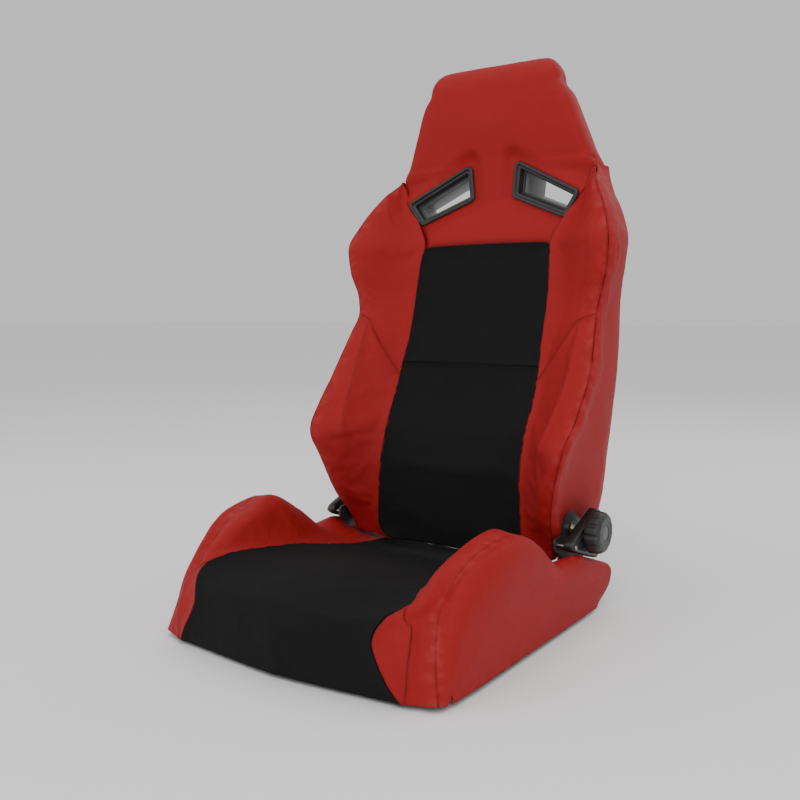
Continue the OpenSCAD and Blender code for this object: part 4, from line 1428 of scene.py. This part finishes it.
    def _foam(self) -> None:
        """Builds the moulded foam behind the insert and the head."""
        skin = self.shape.skin
        for name, node, lows, highs, wide, thick in (
                ("back_foam_block", "back_foam", 92.0, 630.0, 0.95, 40.0),
                ("head_foam_block", "head_foam", 638.0, 950.0, 0.93, 44.0)):
            shape = bmesh.new()
            bmesh.ops.create_cube(shape, size=1.0)
            bmesh.ops.subdivide_edges(shape, edges=shape.edges[:], cuts=31, use_grid_fill=True)
            verts = shape.verts[:]
            a = np.array([v.co[:] for v in verts])
            t, s = a[:, 0] * 2 * wide, lows + (a[:, 2] + 0.5) * (highs - lows)
            flat = np.clip(s, None, 925)
            front = skin.at(t, flat)
            front[:, 2] += (s - flat) * MM
            front[:, 1] += (8 + (a[:, 1] + 0.5) * (thick - 8) + 12 * np.clip((s - 925) / 25, 0, 1)) * MM
            for v, co in zip(verts, front):
                v.co = co
            for v in verts:
                v.co += v.normal * 0.0006 * noise.noise(v.co * 60)
            if name.startswith("head"):
                shape.verts.index_update()
                inside = HarnessSlots.within(np.array([v.co[:] for v in shape.verts]), -6.0)
                gone = [f for f in shape.faces if any(inside[v.index] for v in f.verts)]
                bmesh.ops.delete(shape, geom=gone, context="FACES")
            bmesh.ops.recalc_face_normals(shape, faces=shape.faces[:])
            Piece(name, self.body, "foam", FOAM, (node,), 1.0).keep(shape)


class WrappedCover(Cover):
    """A cover whose patches turn round the object, so each is set to face outwards by itself."""

    def __init__(self, *args: object, lift: float = 0.0, **settings: object) -> None:
        """Keeps how far the cover stands off its skin.

        Args:
            *args: A cover's own values.
            lift: Height over the skin, in millimetres.
            **settings: A cover's own settings.
        """
        super().__init__(*args, **settings)
        self.lift = lift

    def _lay(self, shape: bmesh.types.BMesh, patch: Patch, grid_map: object) -> None:
        """Adds one patch and turns it outwards.

        Args:
            shape: The shape.
            patch: The patch.
            grid_map: The layer that holds the cloth's own map.
        """
        before = set(shape.faces)
        super()._lay(shape, patch, grid_map)
        new = [f for f in shape.faces if f not in before]
        shape.normal_update()
        axis = Vector((0, 0.335, 0))
        vote = sum((f.normal.dot(Vector((f.calc_center_median().x, f.calc_center_median().y - axis.y,
                                         0)))) * f.calc_area()
                   for f in new)
        if vote < 0:
            bmesh.ops.reverse_faces(shape, faces=new)
        if self.lift:
            shape.normal_update()
            t, s = patch.places()
            rise = self.lift * np.clip((s - s.min()) / 60, 0, 1) * np.clip((np.abs(t) - 4.12) / 0.12, 0, 1)
            verts = sorted({v for f in new for v in f.verts}, key=lambda v: v.index)
            if verts[0].index < 0:
                shape.verts.index_update()
            spots = patch.skin.at(t, s)
            look = {tuple(np.round(p, 6)): r for p, r in zip(spots, rise)}
            moves = [(v, v.normal.copy() * look.get(tuple(np.round(v.co[:], 6)), 0.0) * MM) for v in verts]
            for v, move in moves:
                v.co += move


def sink(tree: BVHTree, line: Array, lift: float) -> Array:
    """Lays a line on finished covers.

    Args:
        tree: The covers' search tree.
        line: Points near them, in metres.
        lift: How far it stands over them, in millimetres.

    Returns:
        The line's points.
    """
    out = []
    for p in line:
        spot, normal, _, _ = tree.find_nearest(Vector(p))
        out.append(spot + normal * lift * MM)
    out = np.array([o[:] for o in out])
    soft = out.copy()
    for _ in range(2):
        soft[1:-1] = (soft[:-2] + 2 * soft[1:-1] + soft[2:]) / 4
    return soft


# ---------------------------------------------------------------- the harness slots
@dataclass
class HarnessSlots:
    """The two harness slots: front bezels with a raised lip, and grey tunnels through to the rear."""

    body: str = "backrest"
    depth: float = 84.0
    OUTLINE = ((-67.0, -6.0), (48.0, -52.0), (79.0, -6.0), (-60.0, 64.0))
    CENTRE = (106.0, 299.5, 729.0)
    TURN = math.radians(7.0)

    @classmethod
    def local(cls, points: Array, side: float) -> Array:
        """Points in a slot's own axes, in millimetres.

        Args:
            points: Points in metres.
            side: The slot's side.

        Returns:
            Across, depth and height from the slot's centre.
        """
        p = points / MM
        x, y, z = p[:, 0] * side - cls.CENTRE[0], p[:, 1] - cls.CENTRE[1], p[:, 2] - cls.CENTRE[2]
        c, s = math.cos(cls.TURN), math.sin(cls.TURN)
        return np.stack([x * c - y * s, x * s + y * c, z], 1)

    @classmethod
    def within(cls, points: Array, margin: float) -> Array:
        """Whether points lie in either slot's outline, moved inwards by a margin.

        Args:
            points: Points in metres.
            margin: How far inside they have to be, in millimetres.

        Returns:
            True or False for each.
        """
        hit = np.zeros(len(points), bool)
        for side in (1.0, -1.0):
            q = cls.local(points, side)
            inside = points[:, 0] * side > 0
            for (ax, az), (bx, bz) in zip(cls.OUTLINE, (*cls.OUTLINE[1:], cls.OUTLINE[0])):
                length = math.hypot(bx - ax, bz - az)
                inside &= ((bx - ax) * (q[:, 2] - az) - (bz - az) * (q[:, 0] - ax)) / length > margin
            hit |= inside
        return hit

    def inside(self, points: Array) -> Array:
        """Whether a cover's points are hidden under the flange or open to the tunnel."""
        return self.within(points, 4.0)

    @classmethod
    def pressed(cls, points: Array, depth: float) -> Array:
        """Presses a cover to one depth around both slots, so that their flanges lie on it.

        Args:
            points: Points in metres.
            depth: The depth in the slots' own axes, in millimetres.

        Returns:
            The moved points.
        """
        moved = points.copy()
        for side in (1.0, -1.0):
            q = cls.local(points, side)
            away = np.full(len(points), 1e3)
            for (ax, az), (bx, bz) in zip(cls.OUTLINE, (*cls.OUTLINE[1:], cls.OUTLINE[0])):
                run = (((q[:, 0] - ax) * (bx - ax) + (q[:, 2] - az) * (bz - az))
                       / ((bx - ax) ** 2 + (bz - az) ** 2))
                run = np.clip(run, 0, 1)
                away = np.minimum(away, np.hypot(q[:, 0] - ax - run * (bx - ax),
                                                 q[:, 2] - az - run * (bz - az)))
            away = np.where(cls.within(points, 0.0), 0.0, away)
            share = np.clip((26.0 - away) / 25.0, 0, 1) * (points[:, 0] * side > 8 * MM)
            share = share * share * (3 - 2 * share)
            moved[:, 1] += (depth - q[:, 1]) * share * MM
        return moved

    def _into_place(self, shape: bmesh.types.BMesh, side: float) -> None:
        """Turns a ring from the slot's own axes into the seat's.

        Args:
            shape: The ring.
            side: The slot's side.
        """
        c = Vector(self.CENTRE) * MM
        place = Matrix.Translation(c) @ Matrix.Rotation(-self.TURN, 4, "Z")
        bmesh.ops.transform(shape, matrix=place, verts=shape.verts[:])
        if side < 0:
            bmesh.ops.transform(shape, matrix=Matrix.Diagonal((-1, 1, 1, 1)), verts=shape.verts[:])
            bmesh.ops.reverse_faces(shape, faces=shape.faces[:])

    def build(self) -> None:
        """Builds both front bezels and both rear tunnels."""
        end = self.depth
        lip = [(0.0, 1.6), (0.02, -2.0), (0.6, -3.6), (1.8, -4.6), (3.4, -5.0), (5.0, -4.7), (6.0, -3.4),
               (6.6, -1.8),
               (7.4, -1.0), (9.2, -0.8), (10.6, -0.3), (11.4, 0.9), (11.6, 13.0), (12.2, 13.8), (14.4, 14.0),
               (14.8, 14.6), (14.9, 17.0)]
        rear = [(2.2, end + 1.6), (2.3, end + 4.6), (3.2, end + 5.8), (6.0, end + 6.4), (10.0, end + 6.0),
                (12.6, end + 4.8), (14.0, end + 2.0), (14.2, end / 2), (14.3, 16.0)]
        for name, side in (("right", 1.0), ("left", -1.0)):
            for end_name, node, profile, radius, facing, slot, finish in (
                    ("front", "slot_bezel_", lip, 11.0, -1.0, "black_plastic", BLACK),
                    ("rear", "slot_rear_bezel_", rear, 9.0, 1.0, "grey_plastic", GREY)):
                shape = moulding(self.OUTLINE, profile, radius, lambda x, z, y: (x, y, z), False)
                face_towards(shape, (0, facing, 0))
                self._into_place(shape, side)
                made = Piece(f"slot_{end_name}_trim_{name}", self.body, slot, finish,
                             (node + name,)).keep(shape)
                self._wall(made, 1.6)

    @staticmethod
    def _wall(made: bpy.types.Object, thickness: float) -> None:
        """Gives a moulding its wall.

        Args:
            made: The moulding.
            thickness: Its wall, in millimetres.
        """
        wall = made.modifiers.new("wall", "SOLIDIFY")
        wall.thickness, wall.offset = thickness * MM, -1.0


# ---------------------------------------------------------------- the cushion's upholstery
@dataclass
class CushionShape:
    """The cushion's skin, whose stations run from the front hem over the nose to the rear."""

    skin: Skin = field(init=False)

    def __post_init__(self) -> None:
        """Makes the skin from its key lines."""
        middle = [(0, -317, 8), (0, -329, 45), (0, -328, 82), (0, -308, 113), (0, -262, 127),
                  (0, -200, 128.5),
                  (0, -140, 124), (0, -80, 115), (0, -20, 103), (0, 35, 90), (0, 80, 80), (0, 130, 74),
                  (0, 185, 69),
                  (0, 225, 64)]
        bound = [(206, -297, 8), (184, -305, 38), (163, -304, 82), (172, -292, 108), (191, -248, 120),
                 (178, -205, 126), (169, -145, 121), (165, -80, 113), (165, -20, 100), (165, 35, 88),
                 (165, 80, 79),
                 (164, 130, 73), (160, 185, 69), (155, 225, 63)]
        inner = [(211, -297, 8), (212, -296, 42), (209, -283, 85), (201, -266, 108), (204, -242, 132),
                 (203, -200, 160), (204, -145, 178), (215, -85, 194), (212, -20, 160), (210, 33, 122),
                 (210, 78, 99),
                 (210, 130, 93), (208, 186, 82), (205, 240, 64)]
        crest = [(250, -282, 8), (241, -273, 42), (231, -256, 85), (225, -238, 108), (222, -221, 124),
                 (226, -192, 151), (234, -146, 174), (247, -85, 186), (250, -20, 165), (249, 30, 131),
                 (250, 75, 108), (251, 125, 112), (252, 185, 96), (252, 258, 72)]
        outer = [(256, -268, 8), (254, -262, 45), (250, -250, 88), (246, -234, 116), (243, -216, 140),
                 (250, -185, 162), (257, -140, 178), (261, -80, 184), (262, -20, 160), (262, 30, 125),
                 (262, 75, 104), (262, 130, 106), (262, 185, 90), (262, 262, 66)]
        wall = [(257, -262, 18), (258, -255, 28), (260, -240, 48), (261, -222, 62), (262, -200, 70),
                (263, -160, 72),
                (264, -118, 72), (264, -70, 70), (264, -18, 66), (264, 30, 60), (264, 75, 56), (264, 128, 54),
                (264, 190, 50), (262, 268, 46)]
        hem = [(258, -262, 8), (258, -245, 8), (259, -220, 8), (260, -195, 8), (260, -168, 8), (260, -135, 8),
               (260, -100, 8), (260, -60, 8), (260, -15, 8), (260, 30, 8), (260, 75, 8), (260, 125, 8),
               (260, 170, 8), (260, 205, 8)]
        count = range(14)
        self.skin = Skin([KeyLine(count, line) for line in (middle, bound, inner, crest, outer, wall, hem)],
                         self._crease)

    @staticmethod
    def _crease(k: int, s: Array) -> Array:
        """How sharp the skin is at a key line, at each station."""
        return {1: 0.25 + 0.65 * np.clip((s - 3.0) / 2, 0, 1), 3: 0.1 + 0 * s}.get(k, 0 * s)

    @staticmethod
    def inner_seam(s: Array) -> Array:
        """Where the strip beside the crest starts: at the front's inner seam, then at the centre panel."""
        return np.interp(s, [0, 2.6, 4.0, 13], [2.0, 2.0, 1.0, 1.0])


@dataclass
class CushionUpholstery:
    """Every sewn piece of the cushion."""

    shape: CushionShape = field(default_factory=CushionShape)
    body: str = "seat_base"
    covers: list[bpy.types.Object] = field(default_factory=list)

    def build(self) -> None:
        """Builds the covers, welts, stitches and foam."""
        c, skin = self.shape, self.shape.skin
        bounds, crests, inners, hems, rows = {}, {}, {}, {}, []
        for name, side in (("right", 1.0), ("left", -1.0)):
            bounds[name] = Seam.on(skin, [(side, s) for s in range(14)], 3.6, 8)
            crests[name] = Seam.on(skin, [(3 * side, s) for s in range(14)], 4.0, 14,
                                   (1, 1, 1, 1, 1, 1, 1, 0.9, 0.55, 0.45, 0.4, 0.4, 0.4, 0.4))
            inners[name] = Seam.on(skin, [(2 * side, s) for s in (0, 1, 2, 2.6)] + [(1.5 * side, 3.3),
                                                                                    (side, 4.0)], 3.2, 8)
            hems[name] = Seam.on(skin, [(6 * side, s) for s in (0, 3, 6, 9, 13)], 2.0, 9)
        nose_hem = Seam.on(skin, [(-1, 0), (0, 0), (1, 0)], 1.5, 9)
        cross = Seam.on(skin, [(-1, 9.3), (-0.5, 9.45), (0, 9.5), (0.5, 9.45), (1, 9.3)], 4.0, 9)
        self.covers.append(Cover(
            Piece("cushion_centre_cover", self.body, "black_cloth", CLOTH, ("cushion_centre",), 0.85),
            [Patch(skin, (fixed(-1), fixed(1)), (fixed(0), fixed(13)), eased(72), even(150))],
            [bounds["right"], bounds["left"], cross, nose_hem], outward=1, puff=3.0, seed=41.0).build())
        for name, side in (("right", 1.0), ("left", -1.0)):
            self.covers.append(Cover(
                Piece(f"cushion_flap_{name}", self.body, "red_leatherette", RED, (f"cushion_front_{name}",),
                      0.8),
                [Patch(skin, (fixed(side), lambda s, k=side: k * c.inner_seam(s)), (fixed(0), fixed(3.98)),
                       even(14), even(44))],
                [bounds[name], inners[name]], outward=side, puff=1.5, seed=45 + side).build())
            self.covers.append(Cover(
                Piece(f"cushion_bolster_{name}_cover", self.body, "red_leatherette", RED,
                      (f"cushion_bolster_{name}",), 0.9),
                [Patch(skin, (lambda s, k=side: k * c.inner_seam(s), fixed(3 * side)), (fixed(0), fixed(13)),
                       even(30), even(150))],
                [bounds[name], inners[name], crests[name]], outward=side, puff=2.0, seed=51 + side,
                wear=[crests[name]]).build())
            self.covers.append(Cover(
                Piece(f"cushion_side_{name}_cover", self.body, "red_leatherette", RED,
                      (f"cushion_side_{name}",), 0.85),
                [Patch(skin, (fixed(3 * side), fixed(6 * side)), (fixed(0), fixed(13)), even(44), even(150))],
                [crests[name], hems[name]], outward=side, puff=1.5, seed=57 + side, wear=[crests[name]],
                cloth=False).build())
            rows += [(crests[name], (-4.4, 4.4)), (inners[name], (-2.6, 2.6))]
        for seam in crests.values():
            seam.pull = np.where(np.arange(len(seam.pull)) < 0.55 * len(seam.pull), seam.pull, 0.0)
        Stitching(Piece("cushion_stitches", self.body, "red_leatherette", RED_THREAD), rows,
                  self.covers).build()
        Stitching(Piece("cushion_centre_stitches", self.body, "black_cloth", BLACK_THREAD),
                  [(cross, (-3.0, 3.0))],
                  self.covers).build()
        tree = surface_tree(self.covers)
        shape = bmesh.new()
        shape.verts.layers.float.new("seam"), shape.verts.layers.float.new("wear")
        for seam in bounds.values():
            tube(shape, sink(tree, seam.points, 1.0), 1.8 * MM, 8)
        Piece("cushion_welt", self.body, "black_cloth", WELT).keep(shape)
        shape = bmesh.new()
        shape.verts.layers.float.new("seam"), shape.verts.layers.float.new("wear")
        for seam in (*crests.values(), *inners.values()):
            tube(shape, sink(tree, seam.points[::2], -0.7), 1.6 * MM, 6)
        Piece("cushion_seam_folds", self.body, "red_leatherette", RED).keep(shape)
        self._foam()

    def _foam(self) -> None:
        """Builds the foam under the centre and in each bolster."""
        skin = self.shape.skin
        for name, nodes, t0, t1, s0, s1, floor in (
                ("cushion_foam_block", ("cushion_foam",), -0.98, 0.98, 3.0, 12.2, 46.0),
                ("bolster_foam_right", (), 1.08, 4.7, 3.2, 12.6, 60.0),
                ("bolster_foam_left", (), -1.08, -4.7, 3.2, 12.6, 60.0)):
            shape = bmesh.new()
            bmesh.ops.create_cube(shape, size=1.0)
            bmesh.ops.subdivide_edges(shape, edges=shape.edges[:], cuts=17, use_grid_fill=True)
            verts = shape.verts[:]
            a = np.array([v.co[:] for v in verts]) + 0.5
            t, s = t0 + (t1 - t0) * a[:, 0], s0 + (s1 - s0) * a[:, 1]
            top = skin.at(t, s)
            over = top.copy()
            over[:, 2] -= 9 * MM
            over[:, 0] -= np.sign(over[:, 0]) * np.clip((np.abs(over[:, 0]) - 0.235) / 0.03, 0, 1) * 8 * MM
            under = over.copy()
            under[:, 2] = np.minimum(floor * MM, over[:, 2] - 3 * MM)
            share = a[:, 2][:, None]
            where = under * (1 - share) + over * share
            for v, co in zip(verts, where):
                v.co = co
            bmesh.ops.recalc_face_normals(shape, faces=shape.faces[:])
            Piece(name, self.body, "foam", FOAM, nodes, 1.0).keep(shape)


# ---------------------------------------------------------------- the recliner's mouldings
@dataclass
class ReclinerTrim:
    """The recliner covers and the fluted knob."""

    axis_y: float = 182.0
    axis_z: float = 145.0
    cover_in: float = 240.0
    cover_out: float = 258.0
    cover_corner: float = 13.0
    knob_in: float = 261.0
    knob_radius: float = 36.0
    flutes: int = 12
    CORNERS = ((-86.0, -15.0), (46.0, -58.0), (54.0, 36.0))

    @classmethod
    def covers(cls, points: Array) -> Array:
        """Whether points of the side cover are hidden behind a recliner cover.

        Args:
            points: Points in metres.

        Returns:
            True or False for each.
        """
        p = points / MM
        corners = [(c[0] + cls.axis_y, c[1] + cls.axis_z) for c in cls.CORNERS]
        inside = np.ones(len(p), bool)
        for (ay, az), (by, bz) in zip(corners, (*corners[1:], corners[0])):
            length = math.hypot(by - ay, bz - az)
            inside &= ((by - ay) * (p[:, 2] - az) - (bz - az) * (p[:, 1] - ay)) / length > 14.0
        return inside

    def build(self) -> None:
        """Builds both covers and the knob."""
        for name, side in (("right", 1.0), ("left", -1.0)):
            self._cover(name, side)
        self._knob()

    def _cover(self, name: str, side: float) -> None:
        """Builds one cover: a rounded triangular shell with a soft edge and a raised rim.

        Args:
            name: The side's name.
            side: Its sign.
        """
        edge = self.cover_out
        profile = [(0.0, self.cover_in), (0.2, edge - 5), (0.7, edge - 3), (1.9, edge - 1.2),
                   (4.1, edge - 0.3),
                   (6.7, edge), (8.1, edge - 0.4), (9.1, edge - 1.3), (12.1, edge - 1.4)]
        shape = moulding(self.CORNERS, profile, self.cover_corner,
                         lambda y, z, x: (x, self.axis_y + y, self.axis_z + z), True)
        face_towards(shape, (1, 0, 0))
        if side < 0:
            bmesh.ops.transform(shape, matrix=Matrix.Diagonal((-1, 1, 1, 1)), verts=shape.verts[:])
            bmesh.ops.reverse_faces(shape, faces=shape.faces[:])
        made = Piece(f"recliner_trim_{name}", "seat_base", "black_plastic", BLACK,
                     (f"recliner_cover_{name}",)).keep(shape)
        HarnessSlots._wall(made, 2.2)

    def _knob(self) -> None:
        """Builds the knob: a fluted drum with a chamfered face and a dished middle."""
        shape = bmesh.new()
        count = self.flutes * 14
        turn = Matrix.Translation((self.knob_in * MM, self.axis_y * MM,
                                   self.axis_z * MM)) @ Matrix.Rotation(math.pi / 2, 4, "Y")
        ring = bmesh.ops.create_circle(shape, segments=count, radius=1.0)["verts"]
        profile = [(0.0, self.knob_radius - 3.2, 0.5), (0.8, self.knob_radius - 1.2, 0.7),
                   (2.6, self.knob_radius, 1.0),
                   (9.0, self.knob_radius - 0.4, 1.0), (16.0, self.knob_radius - 0.9, 1.0),
                   (20.0, self.knob_radius - 1.6, 1.0),
                   (22.6, self.knob_radius - 3.0, 0.85), (24.6, self.knob_radius - 5.4, 0.5),
                   (25.8, self.knob_radius - 8.4, 0.2),
                   (26.2, self.knob_radius - 12.0, 0.0), (26.0, 20.0, 0.0), (25.2, 16.5, 0.0),
                   (25.6, 14.6, 0.0),
                   (25.6, 12.6, 0.0), (24.4, 12.0, 0.0), (20.2, 12.0, 0.0)]
        rings = []
        for height, radius, cut in profile:
            if rings:
                ring = bmesh.ops.create_circle(shape, segments=count, radius=1.0)["verts"]
            for vert in ring:
                a = math.atan2(vert.co.y, vert.co.x)
                wave = math.cos(a * self.flutes)
                dent = 2.9 * cut * max(0.0, (wave - 0.15) / 0.85) ** 0.8
                r = radius - dent
                vert.co = Vector((math.cos(a) * r * MM, math.sin(a) * r * MM, height * MM))
            if rings:
                bmesh.ops.bridge_loops(shape, edges=[*_ring_edges(rings[-1]), *_ring_edges(ring)])
            rings.append(ring)
        for end in (rings[0], rings[-1]):
            bmesh.ops.contextual_create(shape, geom=_ring_edges(end))
        bmesh.ops.recalc_face_normals(shape, faces=shape.faces[:])
        bmesh.ops.transform(shape, matrix=turn, verts=shape.verts[:])
        Piece("recliner_grip", "recliner_drive", "black_plastic", BLACK, ("recliner_knob",)).keep(shape)


# ---------------------------------------------------------------- carried-over parts, stage, and main
def dress_frame(frame: dict) -> None:
    """Gives every carried-over part its finish, from the record's slots.

    Args:
        frame: The loaded frame.
    """
    finishes = {f.name: f for f in (RED, CLOTH, FOAM, WIRE, GREY, BLACK, CAP, STEEL, ZINC, PAINT)}
    for part in frame["record"]["subparts"]:
        name = part.get("node") or part.get("name")
        made = frame["nodes"][name]
        finish = finishes[part["material_slot"]]
        made.data.materials.clear()
        made.data.materials.append(finish.material())


@dataclass
class Studio:
    """The floor, the lights and the camera."""

    azimuth: float = 34.63
    elevation: float = 5.59
    eye: tuple[float, float, float] = (849.0, -1234.0, 513.0)
    lens: float = 41.04

    def build(self) -> None:
        """Builds them all."""
        shape = bmesh.new()
        bmesh.ops.create_grid(shape, x_segments=1, y_segments=1, size=30.0)
        mesh = bpy.data.meshes.new("floor")
        shape.to_mesh(mesh)
        shape.free()
        floor = bpy.data.objects.new("floor", mesh)
        bpy.context.scene.collection.objects.link(floor)
        graph = Graph("pale_floor")
        mesh.materials.append(graph.finish(
            Base_Color=graph.blend(graph.noise(1.5), (0.92, 0.92, 0.92, 1), (0.94, 0.94, 0.94, 1)),
            Roughness=0.9))
        self._light("key", (1.6, -2.2, 2.6), 2.6, 44.0)
        self._light("fill", (-2.4, -1.8, 1.7), 2.6, 16.0)
        self._light("rim", (0.6, 2.4, 2.4), 2.4, 14.0)
        self._light("top", (0.0, 0.0, 3.2), 2.6, 16.0)
        world = bpy.data.worlds.new("studio")
        bpy.context.scene.world = world
        world.use_nodes = True
        back = world.node_tree.nodes["Background"]
        back.inputs[0].default_value = (1.0, 1.0, 1.0, 1)
        back.inputs[1].default_value = 0.72
        self._camera()

    @staticmethod
    def _light(name: str, place: tuple[float, float, float], size: float, watts: float) -> None:
        """Adds a soft light that looks at the seat.

        Args:
            name: Its name.
            place: Its place in metres.
            size: Its side.
            watts: Its power.
        """
        data = bpy.data.lights.new(name, "AREA")
        data.size, data.energy = size, watts
        lamp = bpy.data.objects.new(name, data)
        lamp.location = place
        lamp.rotation_mode = "QUATERNION"
        lamp.rotation_quaternion = (Vector((0, 0.1, 0.45)) - Vector(place)).to_track_quat("-Z", "Y")
        bpy.context.scene.collection.objects.link(lamp)

    def _camera(self) -> None:
        """Places the camera."""
        data = bpy.data.cameras.new("view")
        data.lens, data.sensor_width = self.lens, 36.0
        camera = bpy.data.objects.new("view", data)
        a, e = math.radians(self.azimuth), math.radians(self.elevation)
        back = Vector((math.sin(a) * math.cos(e), -math.cos(a) * math.cos(e), math.sin(e)))
        camera.location = Vector(self.eye) * MM
        camera.rotation_mode = "QUATERNION"
        camera.rotation_quaternion = (-back).to_track_quat("-Z", "Y")
        bpy.context.scene.collection.objects.link(camera)
        bpy.context.scene.camera = camera


def main() -> None:
    """Builds the seat around its frame."""
    logging.basicConfig(level=logging.INFO, format="%(message)s")
    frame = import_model()
    Studio().build()
    dress_frame(frame)
    slots = HarnessSlots()
    slots.build()
    BackUpholstery().build(slots)
    CushionUpholstery().build()
    ReclinerTrim().build()


if __name__ == "__main__":
    main()
